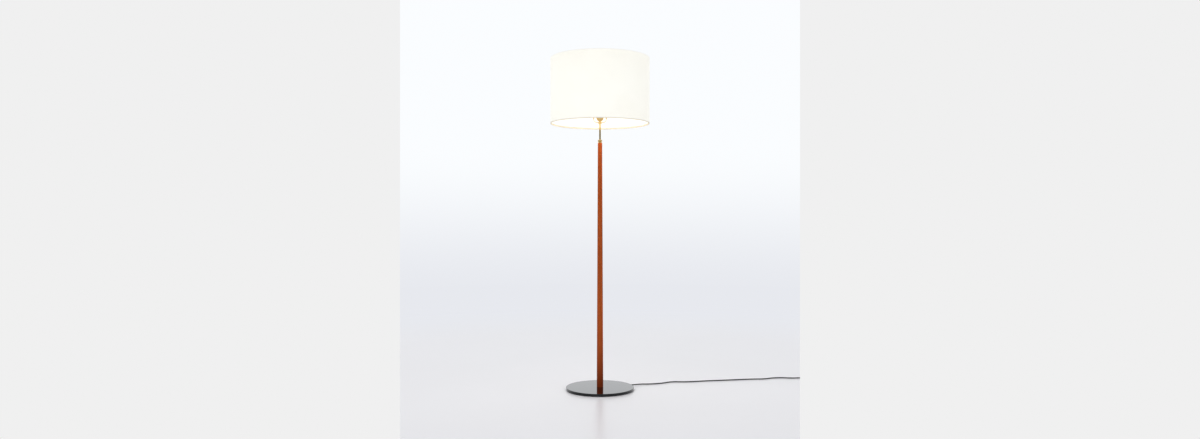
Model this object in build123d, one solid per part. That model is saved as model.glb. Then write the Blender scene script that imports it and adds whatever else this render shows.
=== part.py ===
from build123d import *
import math
import os

# Adjustable floor lamp: a drum shade on a harp and turn-knob socket, a brass stem that slides in a
# tapered teak column, a heavy round base and a flex that leaves the base's rim and lies on the floor.
# Millimetres, +Z up. The origin is the centre of the base's underside, on the floor.

# Clearances
running_gap = 0.05      # radial, between pieces that turn or slide on each other
seat_gap = 0.3          # between pieces of different bodies that lie one on another
fit_gap = 0.1           # between pieces of one body that slip together
flex_room = 0.3         # round the flex where it is led through a piece
floor_gap = 0.05        # under what lies loose on the floor

# Base
base_diameter = 315.0
base_height = 12.8
base_top_radius = 2.2
base_bottom_chamfer = 0.8
felt_thickness = 1.5
felt_margin = 5.0
flange_diameter = 46.0
flange_thickness = 2.0
pocket_margin = 1.0
flange_screw_count = 3
flange_screw_circle = 34.0
flange_screw_diameter = 4.0
flange_screw_bite = 2.6
screw_head_diameter = 7.0
screw_head_height = 1.5

# Flex and strain relief
flex_diameter = 5.2
exit_azimuth = 28.8
relief_large_diameter = 7.4
relief_small_diameter = 6.2
relief_length = 22.0
relief_neck_length = 3.0
anchor_length = 11.0
anchor_width = 8.2
foot_bend_radius = 8.0
foot_bend_offset = 3.2
foot_flex_rise = 26.0
foot_flex_top = 80.0
foot_flex_radius = 60.0

# Column
column_length = 1125.2
column_foot_diameter = 30.2
column_head_diameter = 20.3
core_tube_diameter = 14.0
core_tube_wall = 1.0
core_tube_setback = 4.0

# Guide bush and clamp nut
bush_depth = 30.0
bush_flange_diameter = 16.8
bush_flange_height = 6.0
collet_diameter = 12.0
collet_height = 6.2
collet_tip_diameter = 9.8
collet_slot_width = 1.0
collet_slot_count = 4
nut_diameter = 19.0
nut_height = 8.4
nut_top_diameter = 13.0
nut_top_thickness = 1.2
nut_flute_count = 36
nut_flute_diameter = 1.1

# Stem
stem_diameter = 8.0
stem_wall = 0.8
stem_exposed = 74.0
stem_travel_up = 300.0
stem_tail = 3.0         # below the stop ring's groove
stem_head = 2.0         # above the socket cap's neck
stop_ring_diameter = 11.4
stop_ring_thickness = 1.3
stop_ring_opening = 40.0
stop_groove_depth = 0.4
lock_nut_across_flats = 16.0
lock_nut_height = 4.5

# Harp and its saddle
saddle_thickness = 1.8
saddle_width = 11.0
saddle_bend_radius = 16.0
harp_foot_offset = 29.0
saddle_arm_height = 19.0
saddle_post_diameter = 3.5
saddle_post_height = 10.0
harp_wire_diameter = 3.4
harp_height = 272.0
harp_foot_gap = 2.0
harp_foot_straight = 20.0
harp_half_width = 60.0
harp_flare_rise = 53.0
harp_side_height = 85.0
harp_crown_half_width = 30.0
harp_foot_radius = 40.0
harp_shoulder_radius = 60.0
harp_upper_radius = 80.0
harp_crown_radius = 30.0
ferrule_diameter = 6.2
ferrule_length = 20.0
ferrule_lap = 9.0
stud_diameter = 6.2
stud_length = 13.5
stud_seat_diameter = 14.0
stud_seat_thickness = 2.4
stud_boss_diameter = 11.0
stud_boss_depth = 4.2

# Lamp socket
cap_neck_diameter = 12.0
cap_neck_height = 6.0
cap_diameter = 34.0
cap_bowl_height = 18.0
cap_rim_height = 6.0
cap_wall = 0.8
shell_wall = 0.6
shell_lap = 5.0
shell_height = 43.0
shell_bead = 0.7
liner_wall = 0.8
liner_shortfall = 3.0
housing_height = 18.0
screw_shell_diameter = 28.0
screw_shell_wall = 0.55
screw_shell_height = 20.0
contact_diameter = 9.0
contact_thickness = 1.6
terminal_screw_diameter = 3.0
terminal_head_diameter = 5.0
terminal_head_height = 1.6
terminal_depth = 6.0
terminal_recess = 0.4
lead_diameter = 1.8
lead_offset = 1.3
lead_spread = 2.6
lead_straight = 5.0
lead_bend_radius = 8.0
lead_insertion = 1.0
switch_drop = 8.0
spindle_diameter = 3.0
spindle_insertion = 8.0
knob_diameter = 10.0
knob_length = 17.0
knob_collar_length = 6.0
knob_grip_diameter = 7.6
knob_grip_start = 7.6
knob_end_chamfer = 1.4
knob_wing_thickness = 2.5
knob_wing_length = 12.0
knob_shell_gap = 3.0
knob_socket_depth = 9.0

# Bulb
bulb_diameter = 60.0
bulb_wall = 1.0
bulb_length = 112.0
bulb_neck_diameter = 25.2
bulb_cap_diameter = 26.4
bulb_cap_wall = 0.5
bulb_cap_height = 24.0
bulb_cap_floor = 2.0
bulb_contact_diameter = 10.0
bulb_contact_height = 1.4
bulb_cap_floor_margin = 1.0
bulb_neck_insertion = 12.0
bulb_shoulder_radius = 20.0
bulb_shoulder_turn = 35.0
bulb_post_diameter = 7.0
bulb_post_height = 45.0
filament_span = 26.0
filament_rise = 18.0
filament_wire_diameter = 0.8
filament_diameter = 1.6
filament_foot_offset = 1.0

# Shade
shade_diameter = 457.0
shade_height = 300.3
spider_recess = 22.5
hem_thickness = 0.5
hem_height = 9.0
fabric_thickness = 0.8
liner_thickness = 0.4
ring_wire_diameter = 3.0
spoke_count = 3
spoke_diameter = 3.0
spoke_first_azimuth = 90.0
spoke_rise_run = 22.0
spoke_bend_radius = 8.0
spoke_weld = 1.0        # length of a spoke that lies within the washer
spider_washer_diameter = 24.0
spider_washer_bore = 7.0
spider_washer_thickness = 1.6

# Finial
finial_diameter = 13.0
finial_foot_diameter = 14.0
finial_foot_height = 2.4
finial_waist_diameter = 7.0
finial_waist_height = 2.6
finial_thread_margin = 1.0

# Plug
plug_width = 24.0
plug_length = 32.0
plug_edge_radius = 3.0
plug_sleeve_length = 12.0
plug_sleeve_diameter = 9.5
plug_sleeve_tip = 6.6
blade_width = 6.35
blade_thickness = 1.5
blade_length = 17.0
blade_spacing = 12.7
blade_seat = 4.0

# Cord route on the floor, chosen by hand from the photograph, in millimetres
cord_points = [
    (238.0, 111.0),
    (296.0, 129.0),
    (345.0, 158.0),
    (396.0, 162.0),
    (452.0, 169.0),
    (512.0, 186.0),
    (574.0, 197.0),
    (636.0, 209.0),
    (700.0, 221.0),
    (752.0, 231.0),
    (806.0, 232.0),
    (846.0, 258.0),
    (893.0, 266.0),
    (948.0, 254.0),
    (988.0, 262.0),
    (1027.0, 261.0),
    (1064.0, 265.0),
]
cord_first_run = 34.0

# Coil of the length that isn't seen
coil_inner_radius = 20.0
coil_half_turns = 6     # in the lower layer; the upper one has one fewer
coil_turn_gap = 0.6
coil_layer_gap = 0.5
coil_lead_in = 6.0
coil_lead_out = 28.0

# Heights that follow from the sizes above
flex_height = felt_thickness + flex_room + flex_diameter / 2
flange_bottom = flex_height + flex_diameter / 2 + flex_room
pocket_top = flange_bottom + flange_thickness
column_top = base_height + column_length
core_tube_top = column_top - core_tube_setback
core_bore = core_tube_diameter - 2 * core_tube_wall
bush_bottom = column_top - bush_depth
nut_bottom = column_top + bush_flange_height + seat_gap
nut_top = nut_bottom + nut_height
lock_nut_bottom = nut_top + stem_exposed
saddle_bottom = lock_nut_bottom + lock_nut_height
saddle_top = saddle_bottom + saddle_thickness
stop_ring_bottom = bush_bottom - seat_gap - stem_travel_up - stop_ring_thickness
stem_bottom = stop_ring_bottom - fit_gap - stem_tail
stem_top = saddle_top + cap_neck_height + stem_head
cap_rim_bottom = saddle_top + cap_neck_height - cap_wall + cap_bowl_height
cap_top = cap_rim_bottom + cap_rim_height
shell_bottom = cap_top - shell_lap
shell_top = shell_bottom + shell_height
housing_bottom = shell_bottom
housing_top = housing_bottom + housing_height
switch_height = housing_top - switch_drop
bulb_bottom = housing_top + contact_thickness
bulb_top = bulb_bottom + bulb_length
harp_seat = saddle_bottom + harp_height
harp_crown = harp_seat - stud_seat_thickness - harp_wire_diameter / 2
washer_bottom = harp_seat + seat_gap
shade_top = washer_bottom + spider_recess
shade_bottom = shade_top - shade_height
finial_bottom = washer_bottom + spider_washer_thickness + seat_gap

# Radii that follow
base_radius = base_diameter / 2
stem_radius = stem_diameter / 2
stem_bore = stem_diameter - 2 * stem_wall
cap_inner_radius = cap_diameter / 2 - cap_wall
shell_radius = cap_inner_radius - fit_gap
liner_radius = shell_radius - shell_wall - fit_gap
housing_radius = liner_radius - liner_wall - fit_gap
fabric_radius = shade_diameter / 2 - hem_thickness
liner_outer_radius = fabric_radius - fabric_thickness
ring_radius = liner_outer_radius - liner_thickness - ring_wire_diameter / 2
hem_inner_radius = ring_radius - ring_wire_diameter / 2 - hem_thickness
ring_inset = hem_thickness + ring_wire_diameter / 2
harp_foot_bottom = saddle_bottom + saddle_arm_height + saddle_post_height + harp_foot_gap
floor_height = flex_diameter / 2 + floor_gap
coil_pitch = flex_diameter + coil_turn_gap
coil_rise = flex_diameter + coil_layer_gap


def standing(radius, bottom, top):
    """Upright cylinder between two heights."""
    return Pos(0, 0, bottom) * Cylinder(radius, top - bottom, align=(Align.CENTER, Align.CENTER, Align.MIN))


def tube(outer_radius, inner_radius, bottom, top):
    """Upright tube between two heights."""
    ring = Circle(outer_radius) - Circle(inner_radius)
    return Pos(0, 0, bottom) * extrude(ring, top - bottom)


def turned(points):
    """Solid of revolution about Z from (radius, height) corners."""
    return revolve(Plane.XZ * make_face(Polyline(points, close=True)), axis=Axis.Z)


def rod(path, diameter):
    """Round bar along a path."""
    return sweep(Plane(origin=path @ 0, z_dir=path % 0) * Circle(diameter / 2), path=path)


def toward_exit(shape):
    """Turn what is built along +X to the direction in which the flex leaves the base."""
    return Rot(0, 0, exit_azimuth) * shape


def flange_screw_places():
    """Places of the foot flange's screws, clear of the flex channel."""
    step = 360 / flange_screw_count
    return [
        Rot(0, 0, exit_azimuth + step * (index + 0.5)) * Pos(flange_screw_circle / 2, 0, 0)
        for index in range(flange_screw_count)
    ]


# Base
def make_base_disc():
    outline = [
        (0, felt_thickness),
        (base_radius - base_bottom_chamfer, felt_thickness),
        (base_radius, felt_thickness + base_bottom_chamfer),
        (base_radius, base_height - base_top_radius),
    ]
    edge_middle = base_top_radius * math.sqrt(0.5)
    edge = ThreePointArc(
        outline[-1],
        (base_radius - base_top_radius + edge_middle, base_height - base_top_radius + edge_middle),
        (base_radius - base_top_radius, base_height),
    )
    crown = Polyline([(base_radius - base_top_radius, base_height), (0, base_height), outline[0]])
    disc = revolve(Plane.XZ * make_face([Polyline(outline), edge, crown]), axis=Axis.Z)
    disc -= standing(flange_diameter / 2 + pocket_margin, felt_thickness, pocket_top)
    disc -= standing(core_tube_diameter / 2 + fit_gap, felt_thickness, base_height)
    channel_depth = flange_bottom - felt_thickness
    channel_low = felt_thickness + channel_depth / 2
    channel_width = flex_diameter + 2 * flex_room
    channel = Pos(base_radius / 2, 0, channel_low) * Box(base_radius, channel_width, channel_depth)
    neck_start = base_radius - relief_neck_length
    neck = Pos(base_radius, 0, channel_low) * Box(
        2 * relief_neck_length, relief_small_diameter + 2 * fit_gap, channel_depth
    )
    anchor = Pos(neck_start - (anchor_length + fit_gap) / 2, 0, channel_low) * Box(
        anchor_length + fit_gap, anchor_width + 2 * fit_gap, channel_depth
    )
    disc -= toward_exit(channel + neck + anchor)
    for place in flange_screw_places():
        disc -= place * standing(flange_screw_diameter / 2, pocket_top, pocket_top + flange_screw_bite)
    return disc


def make_base_felt():
    return standing(base_radius - felt_margin, 0, felt_thickness)


def make_foot_flange():
    flange = tube(flange_diameter / 2, core_tube_diameter / 2, flange_bottom, pocket_top)
    for place in flange_screw_places():
        flange -= place * standing(flange_screw_diameter / 2, flange_bottom, pocket_top)
    return flange


def make_flange_screws():
    screw = standing(screw_head_diameter / 2, flange_bottom - screw_head_height, flange_bottom)
    screw += standing(flange_screw_diameter / 2, flange_bottom, pocket_top + flange_screw_bite)
    return Compound([place * screw.solid() for place in flange_screw_places()])


def make_strain_relief():
    channel_depth = flange_bottom - felt_thickness
    neck_start = base_radius - relief_neck_length
    anchor = Pos(neck_start - anchor_length / 2, 0, felt_thickness + channel_depth / 2) * Box(
        anchor_length, anchor_width, channel_depth - 2 * fit_gap
    )
    neck_radius = min(relief_small_diameter, channel_depth) / 2 - fit_gap
    profile = [
        (0, neck_start - anchor_length / 2),
        (neck_radius, neck_start - anchor_length / 2),
        (neck_radius, base_radius + fit_gap),
        (relief_large_diameter / 2, base_radius + fit_gap),
        (relief_small_diameter / 2, base_radius + relief_length),
        (0, base_radius + relief_length),
    ]
    sleeve = Pos(0, 0, flex_height) * Rot(0, 90, 0) * turned(profile)
    return toward_exit(anchor + sleeve)


def make_foot_flex():
    start = base_radius - relief_neck_length - anchor_length
    points = [
        (start, 0, flex_height),
        (-foot_bend_offset, 0, flex_height),
        (-foot_bend_offset, 0, foot_flex_rise),
        (0, 0, 2 * foot_flex_rise),
        (0, 0, foot_flex_top),
    ]
    path = FilletPolyline(points, radius=[foot_bend_radius, foot_flex_radius, foot_flex_radius])
    return toward_exit(rod(path, flex_diameter))


def make_column_flex():
    return standing(flex_diameter / 2, foot_flex_top, stem_bottom)


# Column, guide bush and clamp nut
def make_core_tube():
    return tube(core_tube_diameter / 2, core_bore / 2, flange_bottom, core_tube_top)


def make_column():
    bore = core_tube_diameter / 2 + fit_gap
    return turned([
        (bore, base_height),
        (column_foot_diameter / 2, base_height),
        (column_head_diameter / 2, column_top),
        (bore, column_top),
    ])


def make_guide_bush():
    bore = stem_radius + running_gap
    flange_top = column_top + bush_flange_height
    collet_top = flange_top + collet_height
    taper = (collet_diameter - collet_tip_diameter) / 2
    bush = turned([
        (bore, bush_bottom),
        (core_bore / 2, bush_bottom),
        (core_bore / 2, column_top),
        (bush_flange_diameter / 2, column_top),
        (bush_flange_diameter / 2, flange_top),
        (collet_diameter / 2, flange_top),
        (collet_diameter / 2, collet_top - taper),
        (collet_tip_diameter / 2, collet_top),
        (bore, collet_top),
    ])
    slot = Pos(collet_diameter / 2, 0, flange_top + collet_height / 2 + seat_gap) * Box(
        collet_diameter, collet_slot_width, collet_height
    )
    for index in range(collet_slot_count):
        bush -= Rot(0, 0, 360 * index / collet_slot_count) * slot
    return bush


def make_clamp_nut():
    collet_top = column_top + bush_flange_height + collet_height
    taper = (collet_diameter - collet_tip_diameter) / 2
    bore = collet_diameter / 2 + running_gap
    mouth = stem_radius + seat_gap
    chamfer = (nut_diameter - nut_top_diameter) / 2
    ceiling = nut_top - nut_top_thickness
    nut = turned([
        (bore, nut_bottom),
        (nut_diameter / 2, nut_bottom),
        (nut_diameter / 2, nut_top - chamfer / 2),
        (nut_top_diameter / 2, nut_top),
        (mouth, nut_top),
        (mouth, ceiling),
        (collet_tip_diameter / 2, ceiling),
        (bore, min(collet_top - taper, ceiling) + seat_gap / 2),
    ])
    flute = standing(nut_flute_diameter / 2, nut_bottom, nut_top)
    for index in range(nut_flute_count):
        nut -= Rot(0, 0, 360 * index / nut_flute_count) * Pos(nut_diameter / 2, 0, 0) * flute
    return nut


# Stem
def make_stop_ring():
    inner = stem_radius - stop_groove_depth + running_gap
    ring = tube(stop_ring_diameter / 2, inner, stop_ring_bottom, stop_ring_bottom + stop_ring_thickness)
    gap_width = stop_ring_diameter * math.sin(math.radians(stop_ring_opening / 2))
    opening = Pos(stop_ring_diameter / 2, 0, stop_ring_bottom + stop_ring_thickness / 2) * Box(
        stop_ring_diameter, gap_width, 2 * stop_ring_thickness
    )
    return ring - opening


def make_stem_tube():
    stem = tube(stem_radius, stem_bore / 2, stem_bottom, stem_top)
    groove_bottom = stop_ring_bottom - fit_gap
    groove_top = stop_ring_bottom + stop_ring_thickness + fit_gap
    return stem - tube(stem_diameter, stem_radius - stop_groove_depth, groove_bottom, groove_top)


def make_stem_flex():
    return standing(flex_diameter / 2, stem_bottom, stem_top)


def make_lock_nut():
    hexagon = RegularPolygon(lock_nut_across_flats / 2, 6, major_radius=False) - Circle(stem_radius)
    nut = Pos(0, 0, lock_nut_bottom) * extrude(hexagon, lock_nut_height)
    corner_radius = lock_nut_across_flats / math.sqrt(3)
    bevel = corner_radius - lock_nut_across_flats / 2
    return nut & turned([
        (0, lock_nut_bottom),
        (corner_radius - bevel, lock_nut_bottom),
        (corner_radius, lock_nut_bottom + bevel),
        (corner_radius, lock_nut_bottom + lock_nut_height - bevel),
        (corner_radius - bevel, lock_nut_bottom + lock_nut_height),
        (0, lock_nut_bottom + lock_nut_height),
    ])


# Harp and saddle
def make_harp_saddle():
    """U of flat strip with a round lug on each arm."""
    low = saddle_bottom + saddle_thickness / 2
    high = saddle_bottom + saddle_arm_height
    corners = [
        (-harp_foot_offset, 0, high),
        (-harp_foot_offset, 0, low),
        (harp_foot_offset, 0, low),
        (harp_foot_offset, 0, high),
    ]
    path = FilletPolyline(corners, radius=saddle_bend_radius)
    across = Plane(origin=path @ 0, x_dir=(0, 1, 0), z_dir=path % 0)
    strip = sweep(across * Rectangle(saddle_width, saddle_thickness), path=path)
    saddle = strip - standing(stem_radius, saddle_bottom, saddle_top)
    for side in (-1, 1):
        saddle += Pos(side * harp_foot_offset, 0, 0) * standing(
            saddle_post_diameter / 2, high - saddle_post_diameter, high + saddle_post_height
        )
    return saddle


def make_harp():
    flare = harp_foot_bottom + harp_foot_straight
    shoulder = flare + harp_flare_rise
    right = [
        (harp_foot_offset, 0, harp_foot_bottom),
        (harp_foot_offset, 0, flare),
        (harp_half_width, 0, shoulder),
        (harp_half_width, 0, shoulder + harp_side_height),
        (harp_crown_half_width, 0, harp_crown),
    ]
    left = [(-x, y, z) for x, y, z in reversed(right)]
    rising = [harp_foot_radius, harp_shoulder_radius, harp_upper_radius, harp_crown_radius]
    path = FilletPolyline(right + left, radius=rising + rising[::-1])
    return rod(path, harp_wire_diameter)


def make_harp_ferrules():
    bore = max(harp_wire_diameter, saddle_post_diameter) / 2 + fit_gap / 2
    bottom = harp_foot_bottom - harp_foot_gap - ferrule_lap
    sleeve = tube(ferrule_diameter / 2, bore, bottom, bottom + ferrule_length)
    return Compound([Pos(side * harp_foot_offset, 0, 0) * sleeve.solid() for side in (-1, 1)])


def make_harp_stud(harp):
    seat_bottom = harp_seat - stud_seat_thickness
    stud = standing(stud_seat_diameter / 2, seat_bottom, harp_seat)
    stud += standing(stud_diameter / 2, harp_seat, harp_seat + stud_length)
    stud += standing(stud_boss_diameter / 2, seat_bottom - stud_boss_depth, seat_bottom)
    return stud - harp


# Lamp socket
def bowl_arc(low, high):
    """Arc from a neck point up to a rim point, upright at the rim."""
    across = high[0] - low[0]
    up = high[1] - low[1]
    radius = (across ** 2 + up ** 2) / (2 * across)
    half = math.asin(up / radius) / 2
    middle = (high[0] - radius * (1 - math.cos(half)), high[1] - radius * math.sin(half))
    return ThreePointArc(low, middle, high)


def make_socket_cap():
    neck = cap_neck_diameter / 2
    neck_top = saddle_top + cap_neck_height
    outer = cap_diameter / 2
    outside = [
        Polyline([(stem_radius, saddle_top), (neck, saddle_top), (neck, neck_top - cap_wall)]),
        bowl_arc((neck, neck_top - cap_wall), (outer, cap_rim_bottom)),
        Polyline([(outer, cap_rim_bottom), (outer, cap_top), (cap_inner_radius, cap_top)]),
    ]
    inside = [
        Line((cap_inner_radius, cap_top), (cap_inner_radius, cap_rim_bottom)),
        bowl_arc((neck - cap_wall, neck_top), (cap_inner_radius, cap_rim_bottom)),
        Polyline([(neck - cap_wall, neck_top), (stem_radius, neck_top), (stem_radius, saddle_top)]),
    ]
    return revolve(Plane.XZ * make_face(outside + inside), axis=Axis.Z)


def switch_passage():
    """Space that the switch spindle takes through the socket's skins, towards the front."""
    return Pos(0, -cap_diameter / 2, switch_height) * Rot(90, 0, 0) * Cylinder(
        spindle_diameter / 2 + seat_gap, cap_diameter / 2
    )


def make_socket_shell():
    inner = shell_radius - shell_wall
    bead = shell_radius + shell_bead
    shell = turned([
        (inner, shell_bottom),
        (shell_radius, shell_bottom),
        (shell_radius, shell_top - 2 * shell_bead),
        (bead, shell_top - shell_bead),
        (bead, shell_top),
        (inner, shell_top),
    ])
    return shell - switch_passage()


def make_socket_liner():
    inner = liner_radius - liner_wall
    liner = tube(liner_radius, inner, shell_bottom, shell_top - liner_shortfall)
    return liner - switch_passage()


def terminal_places():
    """Places of the two terminal screws, pointing outwards along X."""
    height = housing_bottom + terminal_head_diameter
    seat = housing_radius - terminal_recess - terminal_head_height
    return [
        Pos(0, 0, height) * Rot(0, 0, azimuth) * Pos(seat, 0, 0) * Rot(0, 90, 0)
        for azimuth in (0, 180)
    ]


def make_switch_housing():
    housing = standing(housing_radius, housing_bottom, housing_top)
    bore_depth = housing_radius - spindle_insertion - fit_gap
    spindle_bore = standing(spindle_diameter / 2 + running_gap, 0, 2 * spindle_insertion)
    housing -= Pos(0, -bore_depth, switch_height) * Rot(90, 0, 0) * spindle_bore
    for place in terminal_places():
        housing -= place * standing(terminal_head_diameter / 2 + fit_gap, 0, 3 * terminal_head_height)
        housing -= place * standing(terminal_screw_diameter / 2, -terminal_depth, 0)
    for side in (-1, 1):
        housing -= Pos(side * lead_spread, 0, 0) * standing(
            lead_diameter / 2 + fit_gap, housing_bottom, housing_bottom + lead_insertion
        )
    return housing


def make_terminal_screws():
    screw = standing(terminal_head_diameter / 2, 0, terminal_head_height)
    screw += standing(terminal_screw_diameter / 2, -terminal_depth, 0)
    return Compound([place * screw.solid() for place in terminal_places()])


def make_wire_leads():
    leads = []
    for side in (-1, 1):
        points = [
            (side * lead_offset, 0, stem_top),
            (side * lead_offset, 0, stem_top + lead_straight),
            (side * lead_spread, 0, housing_bottom - lead_straight),
            (side * lead_spread, 0, housing_bottom + lead_insertion),
        ]
        leads.append(rod(FilletPolyline(points, radius=lead_bend_radius), lead_diameter).solid())
    return Compound(leads)


def make_screw_shell():
    outer = screw_shell_diameter / 2
    return tube(outer, outer - screw_shell_wall, housing_top, housing_top + screw_shell_height)


def make_centre_contact():
    return standing(contact_diameter / 2, housing_top, bulb_bottom)


def make_switch_spindle():
    inner_end = housing_radius - spindle_insertion
    outer_end = cap_diameter / 2 + knob_shell_gap + knob_socket_depth
    return Pos(0, -inner_end, switch_height) * Rot(90, 0, 0) * standing(
        spindle_diameter / 2, 0, outer_end - inner_end
    )


def make_switch_knob():
    start = cap_diameter / 2 + knob_shell_gap
    grip = knob_grip_diameter / 2
    barrel = turned([
        (0, 0),
        (knob_diameter / 2, 0),
        (knob_diameter / 2, knob_collar_length),
        (grip, knob_grip_start),
        (grip, knob_length - knob_end_chamfer),
        (grip - knob_end_chamfer, knob_length),
        (0, knob_length),
    ])
    wing = Pos(0, 0, knob_length - knob_wing_length / 2) * Box(
        knob_diameter, knob_wing_thickness, knob_wing_length
    )
    knob = barrel + wing - standing(spindle_diameter / 2, 0, knob_socket_depth)
    return Pos(0, -start, switch_height) * Rot(90, 0, 0) * knob


# Bulb
def bulb_form(shrink):
    """Body of the bulb's envelope, drawn in by the given thickness."""
    neck = bulb_neck_diameter / 2 - shrink
    sphere = bulb_diameter / 2 - shrink
    centre = bulb_top - bulb_diameter / 2
    turn = math.radians(bulb_shoulder_turn)
    shoulder = bulb_shoulder_radius + shrink
    touch = (sphere * math.cos(turn), centre - sphere * math.sin(turn))
    flare_end = neck + shoulder * (1 - math.cos(turn))
    flare_top = touch[1] - (touch[0] - flare_end) / math.tan(turn)
    flare_bottom = flare_top - shoulder * math.sin(turn)
    middle = turn / 2
    neck_bottom = bulb_bottom + bulb_contact_height + bulb_cap_height - bulb_neck_insertion
    outline = [
        Polyline([(0, neck_bottom + shrink), (neck, neck_bottom + shrink), (neck, flare_bottom)]),
        ThreePointArc(
            (neck, flare_bottom),
            (neck + shoulder * (1 - math.cos(middle)), flare_bottom + shoulder * math.sin(middle)),
            (flare_end, flare_top),
        ),
        Line((flare_end, flare_top), touch),
        ThreePointArc(
            touch,
            (sphere * math.cos(middle), centre + sphere * math.sin(middle)),
            (0, centre + sphere),
        ),
        Line((0, centre + sphere), (0, neck_bottom + shrink)),
    ]
    return revolve(Plane.XZ * make_face(outline), axis=Axis.Z)


def make_bulb_glass():
    return bulb_form(0) - bulb_form(bulb_wall)


def make_bulb_cap():
    outer = bulb_cap_diameter / 2
    bottom = bulb_bottom + bulb_contact_height
    return turned([
        (0, bottom),
        (bulb_contact_diameter / 2 + bulb_cap_floor_margin, bottom),
        (outer, bottom + bulb_cap_floor + bulb_cap_floor_margin),
        (outer, bottom + bulb_cap_height),
        (outer - bulb_cap_wall, bottom + bulb_cap_height),
        (outer - bulb_cap_wall, bottom + 2 * bulb_cap_floor),
        (bulb_contact_diameter / 2, bottom + bulb_cap_floor),
        (0, bottom + bulb_cap_floor),
    ])


def make_bulb_contact():
    return standing(bulb_contact_diameter / 2, bulb_bottom, bulb_bottom + bulb_contact_height)


def make_bulb_mount():
    neck_floor = bulb_bottom + bulb_contact_height + bulb_cap_height - bulb_neck_insertion + bulb_wall
    post_top = neck_floor + bulb_post_height
    mount = standing(bulb_post_diameter / 2, neck_floor, post_top)
    for side in (-1, 1):
        foot = (side * filament_foot_offset, 0, post_top - filament_foot_offset)
        path = Line(foot, (side * filament_span / 2, 0, post_top + filament_rise))
        mount += rod(path, filament_wire_diameter)
    return mount


def make_bulb_filament():
    neck_floor = bulb_bottom + bulb_contact_height + bulb_cap_height - bulb_neck_insertion + bulb_wall
    height = neck_floor + bulb_post_height + filament_rise + filament_diameter / 2 + fit_gap
    return Pos(0, 0, height) * Rot(0, 90, 0) * Cylinder(filament_diameter / 2, filament_span)


# Shade
def make_shade_fabric():
    low = shade_bottom + hem_thickness
    return tube(fabric_radius, liner_outer_radius, low, shade_top - hem_thickness)


def make_shade_liner():
    low = shade_bottom + hem_thickness
    return tube(liner_outer_radius, liner_outer_radius - liner_thickness, low, shade_top - hem_thickness)


def hem_profile(edge, inward):
    """Channel of tape folded over the wall's edge and its wire; inward is +1 for the bottom edge."""
    outer = shade_diameter / 2
    deep = edge + inward * hem_height
    floor = edge + inward * hem_thickness
    return turned([
        (outer, deep),
        (outer, edge),
        (hem_inner_radius, edge),
        (hem_inner_radius, deep),
        (hem_inner_radius + hem_thickness, deep),
        (hem_inner_radius + hem_thickness, floor),
        (fabric_radius, floor),
        (fabric_radius, deep),
    ])


def ring_wire(height):
    """Closed ring of wire inside the shade at a height."""
    return Pos(0, 0, height) * Torus(ring_radius, ring_wire_diameter / 2)


def make_bottom_hem():
    return hem_profile(shade_bottom, 1)


def make_top_hem(spokes):
    return hem_profile(shade_top, -1) - spokes


def spokes(diameter):
    """Radial rods from the washer, rising to the top ring."""
    low = washer_bottom + spider_washer_thickness / 2
    high = shade_top - ring_inset
    bend = ring_radius - ring_wire_diameter / 2 - spoke_rise_run
    points = [(spider_washer_diameter / 2 - spoke_weld, 0, low), (bend, 0, low), (ring_radius, 0, high)]
    spoke = rod(FilletPolyline(points, radius=spoke_bend_radius), diameter)
    turns = [spoke_first_azimuth + 360 * index / spoke_count for index in range(spoke_count)]
    return [Rot(0, 0, turn) * spoke for turn in turns]


def make_spider(top_ring):
    spider = standing(spider_washer_diameter / 2, washer_bottom, washer_bottom + spider_washer_thickness)
    for spoke in spokes(spoke_diameter):
        spider += spoke
    spider -= standing(spider_washer_bore / 2, washer_bottom, washer_bottom + spider_washer_thickness)
    inside = standing(ring_radius, washer_bottom - spoke_diameter, shade_top)
    return (spider & inside) - top_ring


# Finial
def make_finial():
    foot_top = finial_bottom + finial_foot_height
    waist_top = foot_top + finial_waist_height
    waist = finial_waist_diameter / 2
    ball = finial_diameter / 2
    centre = waist_top + math.sqrt(ball ** 2 - waist ** 2)
    lean = math.atan2(centre - waist_top, waist)
    middle = (math.pi / 2 - lean) / 2
    outline = [
        Polyline([
            (0, finial_bottom),
            (finial_foot_diameter / 2, finial_bottom),
            (finial_foot_diameter / 2, foot_top),
            (waist, foot_top),
            (waist, waist_top),
        ]),
        ThreePointArc(
            (waist, waist_top),
            (ball * math.cos(middle), centre + ball * math.sin(middle)),
            (0, centre + ball),
        ),
        Line((0, centre + ball), (0, finial_bottom)),
    ]
    finial = revolve(Plane.XZ * make_face(outline), axis=Axis.Z)
    thread_top = harp_seat + stud_length + finial_thread_margin
    return finial - standing(stud_diameter / 2 + running_gap, finial_bottom, thread_top)


# Cord, coil and plug
def cord_route():
    """Route of the cord from the strain relief to the coil, as points."""
    reach = base_radius + relief_length
    azimuth = math.radians(exit_azimuth)
    start = Vector(reach * math.cos(azimuth), reach * math.sin(azimuth), flex_height)
    away = Vector(math.cos(azimuth), math.sin(azimuth), 0)
    return [start, start + away * cord_first_run] + [Vector(x, y, floor_height) for x, y in cord_points]


def corner_radii(points):
    """Largest radius that each corner's two runs allow."""
    radii = []
    for before, corner, after in zip(points, points[1:], points[2:]):
        first = corner - before
        second = after - corner
        shorter = min(first.length, second.length)
        radii.append(0.45 * shorter / math.tan(math.radians(first.get_angle(second)) / 2))
    return radii


def make_cord_run():
    points = cord_route()
    radii = corner_radii(points)
    path = FilletPolyline(points, radius=radii)
    cord = rod(path, flex_diameter)
    expected = math.pi * flex_diameter ** 2 / 4 * path.length
    print("cord corner radii mm:", [round(radius) for radius in radii])
    print("cord run length mm:", round(path.length, 1))
    print("cord run volume over section times length:", round(cord.volume / expected, 5))
    return cord, path.length


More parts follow.
